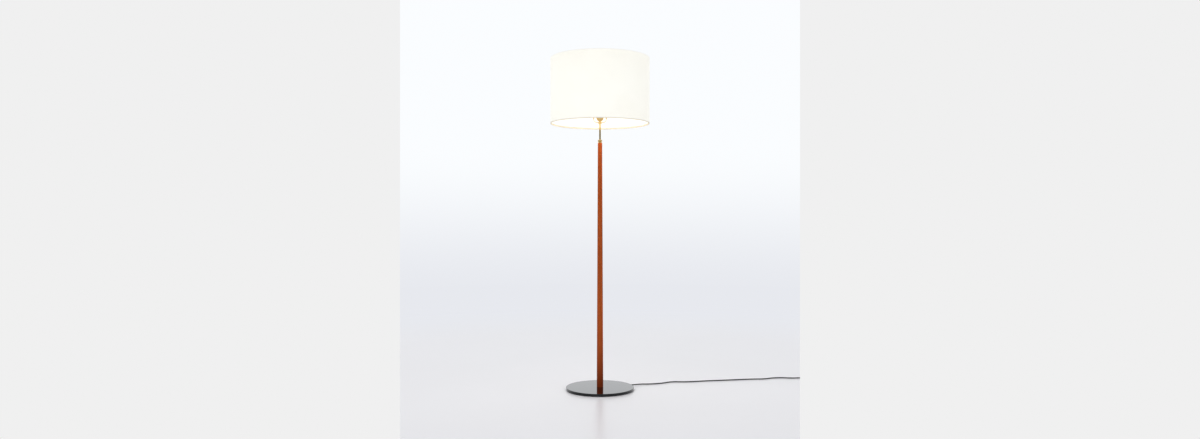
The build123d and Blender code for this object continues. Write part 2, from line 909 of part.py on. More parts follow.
def arc_over(start, corner, end):
    """Arc that is tangent at both ends to the lines meeting in a corner."""
    bend = (corner - start).get_angle(end - corner)
    weight = math.cos(math.radians(bend) / 2)
    middle = (start + corner * (2 * weight) + end) / (2 + 2 * weight)
    return ThreePointArc(start, middle, end)


def half_turn(start, radius, side):
    """Level half circle from a point to the far side of the coil; side is +1 on the right."""
    far = start + Vector(0, 2 * radius * side, 0)
    middle = (start + far) / 2 + Vector(radius * side, 0, 0)
    return ThreePointArc(start, middle, far)


def climbing_half_turn(start, radius, side, rise):
    """Half circle that climbs, as two arcs that meet in a common tangent."""
    far = start + Vector(0, 2 * radius * side, rise)
    reach = Vector(math.hypot(radius, rise / 2) * side, 0, 0)
    crest = (start + far) / 2 + reach
    return [arc_over(start, start + reach, crest), arc_over(crest, far + reach, far)]


def coil_edges():
    """Edges of the coil in its own frame: in along +X at the lowest point, turning left."""
    outer = coil_inner_radius + coil_half_turns * coil_pitch / 2
    radii = [outer - index * coil_pitch / 2 for index in range(coil_half_turns)]
    here = Vector(0, -outer, 0)
    edges = [Line(here - Vector(coil_lead_in, 0, 0), here)]
    side = 1
    for radius in radii:
        edges.append(half_turn(here, radius, side))
        here = edges[-1] @ 1
        side = -side
    edges += climbing_half_turn(here, coil_inner_radius, side, coil_rise)
    here = edges[-1] @ 1
    side = -side
    for radius in reversed(radii[1:]):
        edges.append(half_turn(here, radius, side))
        here = edges[-1] @ 1
        side = -side
    edges.append(Line(here, here + Vector(coil_lead_out * side, 0, 0)))
    return edges


def least_gap(edges, steps=24):
    """Least distance between stretches of the coil that aren't next to each other."""
    points = []
    travelled = 0.0
    for edge in edges:
        for index in range(steps):
            points.append((travelled + edge.length * index / steps, edge @ (index / steps)))
        travelled += edge.length
    least = math.inf
    for first, (reach, point) in enumerate(points):
        for other_reach, other in points[first + 1:]:
            if other_reach - reach > 4 * flex_diameter:
                least = min(least, (other - point).length)
    return least - flex_diameter


def coil_placement():
    """Location that puts the coil's start on the end of the cord's run."""
    points = cord_route()
    run = points[-1] - points[-2]
    heading = math.degrees(math.atan2(run.Y, run.X))
    outer = coil_inner_radius + coil_half_turns * coil_pitch / 2
    entry = Vector(-coil_lead_in, -outer, 0)
    return Pos(*points[-1]) * Rot(0, 0, heading) * Pos(*(entry * -1))


def make_cord_coil():
    edges = coil_edges()
    path = Wire([edge.edge() for edge in edges])
    coil = rod(path, flex_diameter)
    expected = math.pi * flex_diameter ** 2 / 4 * path.length
    print("coil length mm:", round(path.length, 1))
    print("coil volume over section times length:", round(coil.volume / expected, 5))
    print("coil least gap to itself mm:", round(least_gap(edges), 2))
    return coil_placement() * coil, path.length


def plug_placement():
    """Location of the plug: origin at the cord's end, +X away from the cord."""
    last = coil_edges()[-1]
    return coil_placement() * Pos(*(last @ 1))


def make_plug_body():
    height = 2 * (floor_height + coil_rise - floor_gap)
    body = Pos(plug_sleeve_length + plug_length / 2, 0, 0) * Box(plug_length, plug_width, height)
    body = fillet(body.edges().filter_by(Axis.X), plug_edge_radius)
    sleeve = Rot(0, 90, 0) * turned([
        (0, 0),
        (plug_sleeve_tip / 2, 0),
        (plug_sleeve_diameter / 2, plug_sleeve_length + plug_edge_radius),
        (0, plug_sleeve_length + plug_edge_radius),
    ])
    plug = body + sleeve
    for side in (-1, 1):
        plug -= Pos(plug_sleeve_length + plug_length - blade_seat / 2, side * blade_spacing / 2, 0) * Box(
            blade_seat, blade_thickness, blade_width
        )
    return plug_placement() * plug


def make_plug_blades():
    length = blade_length + blade_seat
    start = plug_sleeve_length + plug_length - blade_seat
    blade = Pos(start + length / 2, 0, 0) * Box(length, blade_thickness, blade_width)
    place = plug_placement()
    return Compound([
        (place * Pos(0, side * blade_spacing / 2, 0) * blade).solid() for side in (-1, 1)
    ])


def build_all():
    cord_run, run_length = make_cord_run()
    cord_coil, coil_length = make_cord_coil()
    print("free cord length mm:", round(run_length + coil_length, 1))
    print("stem travel mm: down", round(stem_exposed - 1, 2), "up", stem_travel_up)
    harp = make_harp()
    top_ring = ring_wire(shade_top - ring_inset)
    return {
        "base_disc": make_base_disc(),
        "base_felt": make_base_felt(),
        "foot_flange": make_foot_flange(),
        "flange_screws": make_flange_screws(),
        "strain_relief": make_strain_relief(),
        "foot_flex": make_foot_flex(),
        "column_flex": make_column_flex(),
        "core_tube": make_core_tube(),
        "column": make_column(),
        "guide_bush": make_guide_bush(),
        "clamp_nut": make_clamp_nut(),
        "stop_ring": make_stop_ring(),
        "stem_tube": make_stem_tube(),
        "stem_flex": make_stem_flex(),
        "lock_nut": make_lock_nut(),
        "harp_saddle": make_harp_saddle(),
        "harp": harp,
        "harp_ferrules": make_harp_ferrules(),
        "harp_stud": make_harp_stud(harp),
        "socket_cap": make_socket_cap(),
        "socket_shell": make_socket_shell(),
        "socket_liner": make_socket_liner(),
        "switch_housing": make_switch_housing(),
        "terminal_screws": make_terminal_screws(),
        "wire_leads": make_wire_leads(),
        "screw_shell": make_screw_shell(),
        "centre_contact": make_centre_contact(),
        "switch_spindle": make_switch_spindle(),
        "switch_knob": make_switch_knob(),
        "bulb_glass": make_bulb_glass(),
        "bulb_cap": make_bulb_cap(),
        "bulb_contact": make_bulb_contact(),
        "bulb_mount": make_bulb_mount(),
        "bulb_filament": make_bulb_filament(),
        "shade_fabric": make_shade_fabric(),
        "shade_liner": make_shade_liner(),
        "top_hem": make_top_hem(spokes(spoke_diameter + 2 * fit_gap)),
        "bottom_hem": make_bottom_hem(),
        "top_ring": top_ring,
        "bottom_ring": ring_wire(shade_bottom + ring_inset),
        "spider": make_spider(top_ring),
        "finial": make_finial(),
        "cord_run": cord_run,
        "cord_coil": cord_coil,
        "plug_body": make_plug_body(),
        "plug_blades": make_plug_blades(),
    }


os.makedirs("parts", exist_ok=True)
for name, shape in build_all().items():
    export_step(shape, f"parts/{name}.step")
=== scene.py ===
"""Looks of the adjustable floor lamp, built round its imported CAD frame.

Pieces are shaped in millimetres and handed over in metres, in the frame's own axes: +Z up, the origin
under the middle of the base, the front towards -Y.
"""
import logging
import math
from dataclasses import dataclass
from enum import Enum
from typing import Sequence, Union

import bmesh
import bpy
from mathutils import Matrix, Vector


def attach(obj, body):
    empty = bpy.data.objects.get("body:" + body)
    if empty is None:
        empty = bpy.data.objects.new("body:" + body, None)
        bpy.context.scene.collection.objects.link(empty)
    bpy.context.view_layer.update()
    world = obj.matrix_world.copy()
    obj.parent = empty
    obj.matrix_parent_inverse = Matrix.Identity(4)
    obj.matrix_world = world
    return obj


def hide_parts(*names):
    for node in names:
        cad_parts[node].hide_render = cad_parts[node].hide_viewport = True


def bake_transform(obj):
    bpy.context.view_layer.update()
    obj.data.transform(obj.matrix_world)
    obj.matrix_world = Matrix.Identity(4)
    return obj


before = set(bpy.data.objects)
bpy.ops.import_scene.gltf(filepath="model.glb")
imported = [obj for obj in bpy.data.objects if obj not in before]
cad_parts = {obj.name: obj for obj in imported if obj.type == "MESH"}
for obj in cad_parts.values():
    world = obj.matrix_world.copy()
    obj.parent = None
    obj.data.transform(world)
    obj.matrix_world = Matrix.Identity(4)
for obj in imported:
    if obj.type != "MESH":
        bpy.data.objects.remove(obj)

# Lengths are in millimetres, and MM turns them into metres. Vertices nearer than WELD are joined, and ends
# nearer than ON_AXIS to the axis are put on it.
MM = 0.001
WELD = 1e-4
ON_AXIS = 0.002

Colour = tuple[float, float, float]
Place = tuple[float, float, float]
Pair = tuple[float, float]
Socket = bpy.types.NodeSocket

UPWARD: Place = (0.0, 0.0, 1.0)
FRONTWARD: Place = (0.0, -1.0, 0.0)

log = logging.getLogger("floor_lamp")


class Slot(Enum):
    """The record's material slots."""

    BASE = "base_enamel"
    FELT = "base_felt"
    ZINC = "steel_zinc"
    RUBBER = "cord_rubber"
    PLUG_BRASS = "plug_brass"
    TEAK = "teak"
    BRASS = "brass_satin"
    STEM = "stem_brass"
    SPRING = "spring_steel"
    HARP = "harp_brass"
    CARD = "liner_card"
    PHENOLIC = "phenolic"
    KNOB = "knob_black"
    LEAD = "lead_white"
    OPAL = "opal_glass"
    ALUMINIUM = "bulb_aluminium"
    GLASS = "clear_glass"
    LINEN = "shade_linen"
    STYRENE = "shade_styrene"
    RING = "ring_white"


class Body(Enum):
    """The CAD bodies that pieces ride on."""

    BASE = "base"
    NUT = "clamp_nut"
    STOP = "stop_ring"
    STEM = "stem"
    SWITCH = "switch"
    SHADE = "shade"
    FINIAL = "finial"


# Shaping


@dataclass(frozen=True)
class Corner:
    """A point of a wire outline, with the length that its rounding takes off each side."""

    across: float
    up: float
    rounding: float = 0.0


@dataclass(frozen=True)
class Arc:
    """A swing of the outline's last point about a centre, anticlockwise as seen from the front."""

    across: float
    up: float
    degrees: float
    steps: int = 12


Outline = Sequence[Union[Corner, Arc]]


def moved(x: float = 0.0, y: float = 0.0, z: float = 0.0) -> Matrix:
    """Shift along the axes."""
    return Matrix.Translation((x, y, z))


def swung(degrees: float, axis: str = "Z") -> Matrix:
    """Turn about an axis through the origin."""
    return Matrix.Rotation(math.radians(degrees), 4, axis)


def only(kind: type, parts: Sequence[object]) -> list:
    """Those parts of a mesh that are of one kind."""
    return [part for part in parts if isinstance(part, kind)]


def new_object(name: str, data: bpy.types.ID) -> bpy.types.Object:
    """Object with its data, linked to the scene.

    Args:
        name: The object's name.
        data: Its mesh, curve, light or camera.

    Returns:
        The object.
    """
    made = bpy.data.objects.new(name, data)
    bpy.context.scene.collection.objects.link(made)
    return made


def upright_arc(low: Pair, high: Pair, rising: bool) -> Arc:
    """Arc between two points that stands upright at the higher one.

    Args:
        low: Lower point, across and up.
        high: Higher point, across and up.
        rising: Whether the outline goes from the lower point to the higher.

    Returns:
        The arc, to follow whichever point comes first.
    """
    across, up = high[0] - low[0], high[1] - low[1]
    radius = (across**2 + up**2) / (2 * across)
    swing = math.degrees(math.asin(up / radius))
    return Arc(high[0] - radius, high[1], swing if rising else -swing)


class Form:
    """One bmesh in millimetres, worked with Blender's operators and handed over as a piece."""

    round_segments = 4

    def __init__(self) -> None:
        """Start empty."""
        self.mesh = bmesh.new()

    def draw(self, outline: Outline, closed: bool = False) -> None:
        """Draw a wire in the upright plane through X.

        Args:
            outline: Corners and arcs in order, the first a corner.
            closed: Whether the last point joins the first.
        """
        first = tip = None
        rounded = []
        for step in outline:
            if isinstance(step, Arc):
                centre = (step.across, 0, step.up)
                swept = self.spin([tip], math.radians(step.degrees), step.steps, centre, FRONTWARD)
                tip = only(bmesh.types.BMVert, swept)[0]
                continue
            point = self.mesh.verts.new((step.across, 0, step.up))
            if tip:
                self.mesh.edges.new((tip, point))
            tip = point
            first = first or point
            if step.rounding:
                rounded.append((point, step.rounding))
        if closed:
            self.mesh.edges.new((tip, first))
        for point, reach in rounded:
            self.round_off([point], reach, "VERTICES")

    def spin(self, parts: list, angle: float, steps: int, centre: Place = (0, 0, 0),
             axis: Place = UPWARD, merge: bool = False) -> list:
        """Sweep parts of the mesh about an axis.

        Args:
            parts: Vertices and edges to sweep.
            angle: How far, in radians.
            steps: Number of steps of the sweep.
            centre: A point on the axis.
            axis: The axis' direction.
            merge: Whether the sweep comes full circle and closes.

        Returns:
            The parts' last copies, at the end of the sweep.
        """
        return bmesh.ops.spin(
            self.mesh, geom=parts, cent=centre, axis=axis, dvec=(0, 0, 0), angle=angle, steps=steps,
            use_merge=merge, use_duplicate=False,
        )["geom_last"]

    def round_off(self, parts: list, reach: float, affect: str = "EDGES") -> None:
        """Bevel edges, or the corners of a wire.

        Args:
            parts: Edges or vertices.
            reach: What the bevel takes off each side.
            affect: EDGES or VERTICES.
        """
        bmesh.ops.bevel(
            self.mesh, geom=parts, offset=reach, offset_type="OFFSET", segments=self.round_segments,
            profile=0.5, affect=affect, material=-1, clamp_overlap=True,
        )

    def turn(self, steps: int = 96) -> "Form":
        """Turn the drawn wire a full turn about Z, its ends brought onto the axis.

        Args:
            steps: Steps of the full turn.

        Returns:
            This form.
        """
        for vert in self.mesh.verts:
            if abs(vert.co.x) < ON_AXIS:
                vert.co.x = 0.0
        self.spin(self.mesh.verts[:] + self.mesh.edges[:], math.tau, steps, merge=True)
        bmesh.ops.remove_doubles(self.mesh, verts=self.mesh.verts, dist=WELD)
        return self

    def put(self, matrix: Matrix) -> "Form":
        """Move or turn the whole form."""
        bmesh.ops.transform(self.mesh, matrix=matrix, verts=self.mesh.verts)
        return self

    def take(self, other: "Form", matrix: Matrix = Matrix.Identity(4)) -> "Form":
        """Add a copy of another form, placed.

        Args:
            other: The form to copy from.
            matrix: Where the copy goes.

        Returns:
            This form.
        """
        held = bpy.data.meshes.new("held")
        other.mesh.to_mesh(held)
        held.transform(matrix)
        self.mesh.from_mesh(held)
        bpy.data.meshes.remove(held)
        return self

    def slab(self, size: Place, rounding: float = 0.0) -> "Form":
        """Start from a block centred on the origin, its edges rounded.

        Args:
            size: Its three sizes.
            rounding: Radius of its edges.

        Returns:
            This form.
        """
        bmesh.ops.create_cube(self.mesh, size=1.0)
        bmesh.ops.scale(self.mesh, vec=size, verts=self.mesh.verts)
        if rounding:
            self.round_off(self.mesh.edges[:], rounding)
        return self

    def lift(self, way: Place) -> "Form":
        """Draw a flat form out into a solid.

        Args:
            way: How far the far side goes along each axis.

        Returns:
            This form.
        """
        drawn = bmesh.ops.extrude_face_region(self.mesh, geom=self.mesh.faces[:])["geom"]
        bmesh.ops.translate(self.mesh, vec=way, verts=only(bmesh.types.BMVert, drawn))
        return self

    def flute(self, count: int, depth: float, inner: float, low: float, high: float) -> "Form":
        """Press even flutes into an upright wall.

        Args:
            count: Number of flutes round the wall.
            depth: Their depth.
            inner: Radius beyond which a vertex belongs to the wall.
            low: Height above which the flutes run.
            high: Height below which they run.

        Returns:
            This form.
        """
        for vert in self.mesh.verts:
            reach = math.hypot(vert.co.x, vert.co.y)
            if reach > inner and low < vert.co.z < high:
                bearing = math.atan2(vert.co.y, vert.co.x) * count
                vert.co.xy *= 1 - depth * (0.5 + 0.5 * math.cos(bearing)) / reach
        return self

    def unroll(self, radius: float) -> "Form":
        """Lay a UV map in metres round a drum: along its girth from the front, and up its wall.

        Args:
            radius: Radius of the drum.

        Returns:
            This form.
        """
        layer = self.mesh.loops.layers.uv.new("UVMap")
        for face in self.mesh.faces:
            middle = face.calc_center_median()
            home = math.atan2(middle.x, -middle.y)
            for loop in face.loops:
                x, y, z = loop.vert.co
                bearing = math.atan2(x, -y)
                bearing += math.tau * round((home - bearing) / math.tau)
                loop[layer].uv = (bearing * radius * MM, (z + radius - math.hypot(x, y)) * MM)
        return self

    def piece(self, name: str, slot: Slot, body: Body, stands_for: Sequence[str] = (),
              crease: float = 32.0) -> bpy.types.Object:
        """Hand the form over as a finished piece.

        Args:
            name: The piece's name.
            slot: The finish that it takes.
            body: The CAD body that it rides on.
            stands_for: CAD nodes that it replaces.
            crease: Angle in degrees above which an edge shades sharp.

        Returns:
            The piece, at the origin, with its place in its mesh.
        """
        bmesh.ops.remove_doubles(self.mesh, verts=self.mesh.verts, dist=WELD)
        bmesh.ops.recalc_face_normals(self.mesh, faces=self.mesh.faces)
        bmesh.ops.scale(self.mesh, vec=(MM, MM, MM), verts=self.mesh.verts)
        data = bpy.data.meshes.new(name)
        self.mesh.to_mesh(data)
        self.mesh.free()
        data.shade_smooth()
        data.set_sharp_from_angle(angle=math.radians(crease))
        made = new_object(name, data)
        even = made.modifiers.new("even_normals", "WEIGHTED_NORMAL")
        even.keep_sharp = True
        return settle(made, slot, body, stands_for)


class Bar(Form):
    """Rod, wire or strip, bent in the upright plane through X as in a bending jig."""

    degrees_per_step = 6.0
    fewest_steps = 3

    def __init__(self, corners: Sequence[Pair], radii: Sequence[float],
                 section: "Form") -> None:
        """Bend a section along corners.

        Args:
            corners: Corners of the path, across and up.
            radii: Bend radius at each corner but the first and the last.
            section: Outline of the bar, as loose edges in the plane of X and Y; X lies in the bend.
        """
        super().__init__()
        points = [Vector((across, 0, up)) for across, up in corners]
        self.place = points[0]
        self.ahead = (points[1] - points[0]).normalized()
        right = Vector((self.ahead.z, 0, -self.ahead.x))
        facing = Matrix((right, Vector((0, 1, 0)), self.ahead)).transposed().to_4x4()
        self.take(section, Matrix.Translation(self.place) @ facing)
        self.rim = self.mesh.edges[:]
        self.cap()
        for corner, after, radius in zip(points[1:], points[2:], radii):
            self.corner(corner, after, radius)
        self.run(points[-1])
        self.cap()

    def corner(self, corner: Vector, after: Vector, radius: float) -> None:
        """Run up to a corner and bend round it towards the next one.

        Args:
            corner: Where the path turns.
            after: The next point of the path.
            radius: Radius of the bend.
        """
        onward = (after - corner).normalized()
        across = self.ahead.x * onward.z - self.ahead.z * onward.x
        swing = math.atan2(across, self.ahead.dot(onward))
        self.run(corner - self.ahead * (radius * math.tan(abs(swing) / 2)))
        left = Vector((-self.ahead.z, 0, self.ahead.x))
        centre = self.place + left * math.copysign(radius, swing)
        steps = max(self.fewest_steps, round(abs(math.degrees(swing)) / self.degrees_per_step))
        ends = list({vert for edge in self.rim for vert in edge.verts})
        swept = self.spin(self.rim + ends, swing, steps, centre, FRONTWARD)
        self.rim = only(bmesh.types.BMEdge, swept)
        self.place = centre + Matrix.Rotation(-swing, 3, "Y") @ (self.place - centre)
        self.ahead = onward

    def run(self, end: Vector) -> None:
        """Run straight to a point.

        Args:
            end: Where the straight run ends.
        """
        if (end - self.place).length < WELD:
            return
        drawn = bmesh.ops.extrude_edge_only(self.mesh, edges=self.rim)["geom"]
        fresh = only(bmesh.types.BMVert, drawn)
        self.rim = [edge for edge in only(bmesh.types.BMEdge, drawn) if set(fresh).issuperset(edge.verts)]
        bmesh.ops.translate(self.mesh, vec=end - self.place, verts=fresh)
        self.place = end

    def cap(self) -> None:
        """Close the open end."""
        bmesh.ops.edgeloop_fill(self.mesh, edges=self.rim)


def round_section(radius: float, sides: int = 20) -> Form:
    """Section of a round wire or rod.

    Args:
        radius: Radius of the bar.
        sides: Number of its sides.

    Returns:
        The section.
    """
    form = Form()
    bmesh.ops.create_circle(form.mesh, cap_ends=False, radius=radius, segments=sides)
    return form


def flat_section(thickness: float, width: float, rounding: float) -> Form:
    """Section of a flat strip with rounded corners.

    Args:
        thickness: Thickness of the strip.
        width: Its width.
        rounding: Radius of its edges.

    Returns:
        The section.
    """
    form = Form()
    bmesh.ops.create_grid(form.mesh, x_segments=1, y_segments=1, size=0.5)
    bmesh.ops.scale(form.mesh, vec=(thickness, width, 1), verts=form.mesh.verts)
    bmesh.ops.delete(form.mesh, geom=form.mesh.faces[:], context="FACES_ONLY")
    form.round_off(form.mesh.verts[:], rounding, "VERTICES")
    return form


def turned(outline: Outline, closed: bool = False, steps: int = 96) -> Form:
    """Form turned about Z from an outline.

    Args:
        outline: Corners and arcs of the profile.
        closed: Whether its ends join.
        steps: Steps of the turn.

    Returns:
        The form.
    """
    form = Form()
    form.draw(outline, closed)
    return form.turn(steps)


def sleeve(inner: float, outer: float, bottom: float, top: float, rounding: float = 0.0) -> Form:
    """Upright tube with its outer edges rounded.

    Args:
        inner: Radius of the bore.
        outer: Outer radius.
        bottom: Lower end.
        top: Upper end.
        rounding: Radius of its outer edges.

    Returns:
        The form.
    """
    return turned(
        [Corner(inner, bottom), Corner(outer, bottom, rounding), Corner(outer, top, rounding),
         Corner(inner, top)],
        closed=True,
    )


def rings(radius: float, depth: float, bottom: float, pitch: float, count: int) -> list[Corner]:
    """Outline of rolled thread crests, as rings one above another.

    Args:
        radius: Radius over the crests.
        depth: Depth of the grooves.
        bottom: Height of the first crest.
        pitch: Distance from crest to crest.
        count: Number of crests.

    Returns:
        Corners to place in an outline.
    """
    corners = []
    rounding_share = 0.22
    rounding = pitch * rounding_share
    for index in range(count):
        crest = bottom + index * pitch
        corners += [Corner(radius, crest, rounding), Corner(radius - depth, crest + pitch / 2, rounding)]
    return corners


def groove(at: float, before: float, floor: Pair, after: float) -> list[Corner]:
    """Outline of a moulded groove round a sleeve.

    Args:
        at: Where it starts.
        before: Radius ahead of the groove.
        floor: Radii at the two ends of its floor.
        after: Radius behind the groove.

    Returns:
        Corners to place in an outline.
    """
    width, wall, lip, root = 1.4, 0.3, 0.2, 0.15
    return [Corner(before, at, lip), Corner(floor[0], at + wall, root),
            Corner(floor[1], at + width - wall, root), Corner(after, at + width, lip)]


def settle(made: bpy.types.Object, slot: Slot, body: Body,
           stands_for: Sequence[str] = ()) -> bpy.types.Object:
    """Give a piece its finish, its body and the CAD nodes that it stands for.

    Args:
        made: The object.
        slot: Its finish.
        body: The body it moves with.
        stands_for: The CAD nodes that it replaces.

    Returns:
        The same object.
    """
    made.data.materials.clear()
    made.data.materials.append(FINISHES[slot].material())
    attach(made, body.value)
    if stands_for:
        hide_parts(*stands_for)
    log.info("piece %s, finish %s, on %s", made.name, slot.value, body.value)
    return made


def keep_node(name: str, slot: Slot) -> bpy.types.Object:
    """Keep a CAD node and give it a finish.

    Args:
        name: Name of the node.
        slot: Its finish.

    Returns:
        The node's object.
    """
    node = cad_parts[name]
    for holder in node.material_slots:
        holder.material = FINISHES[slot].material()
    log.info("kept node %s, finish %s", name, slot.value)
    return node


# Finishes


class Graph:
    """Adds and links the nodes of one tree."""

    def __init__(self, tree: bpy.types.NodeTree) -> None:
        """Work on a tree."""
        self.tree = tree

    def add(self, kind: str, **settings: object) -> bpy.types.Node:
        """Add a node and set its properties.

        Args:
            kind: Type of the node.
            settings: Its settings by name.

        Returns:
            The node.
        """
        node = self.tree.nodes.new(kind)
        for key, value in settings.items():
            setattr(node, key, value)
        return node

    def feed(self, target: Socket, value: object) -> None:
        """Link a socket, or set its value.

        Args:
            target: Input that takes the value.
            value: Another node's output or a plain value.
        """
        if isinstance(value, bpy.types.NodeSocket):
            self.tree.links.new(value, target)
        else:
            target.default_value = value

    def calc(self, operation: str, first: object, second: object = 0.0) -> Socket:
        """Result of a Math node.

        Args:
            operation: What to work out.
            first: First value.
            second: Second value.

        Returns:
            The result.
        """
        node = self.add("ShaderNodeMath", operation=operation)
        self.feed(node.inputs[0], first)
        self.feed(node.inputs[1], second)
        return node.outputs[0]

    def plus(self, first: object, second: object) -> Socket:
        """Sum of two values."""
        return self.calc("ADD", first, second)

    def minus(self, first: object, second: object) -> Socket:
        """First value less the second."""
        return self.calc("SUBTRACT", first, second)

    def times(self, first: object, second: object) -> Socket:
        """Product of two values."""
        return self.calc("MULTIPLY", first, second)

    def slope(self, value: Socket, low: object, high: object, start: object = 0.0,
              end: object = 1.0) -> Socket:
        """Smooth step of a value between two limits.

        Args:
            value: What is read.
            low: Value at which the result is start.
            high: Value at which the result is end.
            start: Result at the low limit.
            end: Result at the high limit.

        Returns:
            The result, held between start and end.
        """
        node = self.add("ShaderNodeMapRange", interpolation_type="SMOOTHSTEP")
        for key, given in (("Value", value), ("From Min", low), ("From Max", high),
                           ("To Min", start), ("To Max", end)):
            self.feed(node.inputs[key], given)
        return node.outputs["Result"]

    def mix(self, share: Socket, first: object, second: object) -> Socket:
        """Colour between two colours.

        Args:
            share: Share of the second colour.
            first: First colour.
            second: Second colour.

        Returns:
            The mixed colour.
        """
        node = self.add("ShaderNodeMix", data_type="RGBA")
        self.feed(node.inputs["Factor"], share)
        for key, value in (("A", first), ("B", second)):
            socket = next(s for s in node.inputs if s.name == key and s.type == "RGBA")
            self.feed(socket, value if isinstance(value, bpy.types.NodeSocket) else (*value, 1.0))
        return next(s for s in node.outputs if s.type == "RGBA")

    def stretch(self, vector: Socket, scale: Place) -> Socket:
        """Coordinates scaled along each axis.

        Args:
            vector: Coordinates.
            scale: Factor for each axis.

        Returns:
            The scaled coordinates.
        """
        node = self.add("ShaderNodeMapping")
        self.feed(node.inputs["Vector"], vector)
        node.inputs["Scale"].default_value = scale
        return node.outputs["Vector"]

    def axes(self, vector: Socket) -> bpy.types.NodeOutputs:
        """A vector's X, Y and Z.

        Args:
            vector: The vector.

        Returns:
            The outputs, by name.
        """
        node = self.add("ShaderNodeSeparateXYZ")
        self.feed(node.inputs[0], vector)
        return node.outputs

    def length(self, vector: Socket) -> Socket:
        """Length of a vector.

        Args:
            vector: The vector.

        Returns:
            Its length.
        """
        node = self.add("ShaderNodeVectorMath", operation="LENGTH")
        self.feed(node.inputs[0], vector)
        return node.outputs["Value"]

    def noise(self, vector: Socket, scale: object, detail: float = 3.0, rough: float = 0.55) -> Socket:
        """Noise from 0 to 1.

        Args:
            vector: Coordinates.
            scale: How fine it is.
            detail: Number of octaves.
            rough: Weight of the finer ones.

        Returns:
            A value from 0 to 1.
        """
        node = self.add("ShaderNodeTexNoise")
        self.feed(node.inputs["Vector"], vector)
        self.feed(node.inputs["Scale"], scale)
        node.inputs["Detail"].default_value = detail
        node.inputs["Roughness"].default_value = rough
        return node.outputs["Fac"]

    def streaks(self, vector: Socket, scale: Place, detail: float = 3.0, rough: float = 0.55) -> Socket:
        """Noise from 0 to 1 with a scale of its own along each axis."""
        return self.noise(self.stretch(vector, scale), 1.0, detail, rough)

    def bump(self, height: Socket, depth: float) -> Socket:
        """Normal from a height of 0 to 1 that stands for a depth in metres.

        Args:
            height: Height from 0 to 1.
            depth: Full height in metres.

        Returns:
            The bent normal.
        """
        node = self.add("ShaderNodeBump")
        node.inputs["Distance"].default_value = depth
        self.feed(node.inputs["Height"], height)
        return node.outputs["Normal"]

    def surface(self, share: Socket, first: Socket, second: Socket, target: Socket) -> None:
        """Send a mix of two shaders to a material's or a world's surface.

        Args:
            share: Share of the second shader.
            first: First shader.
            second: Second shader.
            target: The output node's surface.
        """
        both = self.add("ShaderNodeMixShader")
        for entry, given in zip(both.inputs, (share, first, second)):
            self.feed(entry, given)
        self.feed(target, both.outputs[0])

    def group(self, tree: bpy.types.NodeTree, **values: object) -> bpy.types.Node:
        """Place a node group with its own values; underscores in names stand for spaces.

        Args:
            tree: Tree of the group.
            values: Its inputs by name.

        Returns:
            The group's node.
        """
        node = self.add("ShaderNodeGroup", node_tree=tree)
        for key, value in values.items():
            self.feed(node.inputs[key.replace("_", " ")], value)
        return node


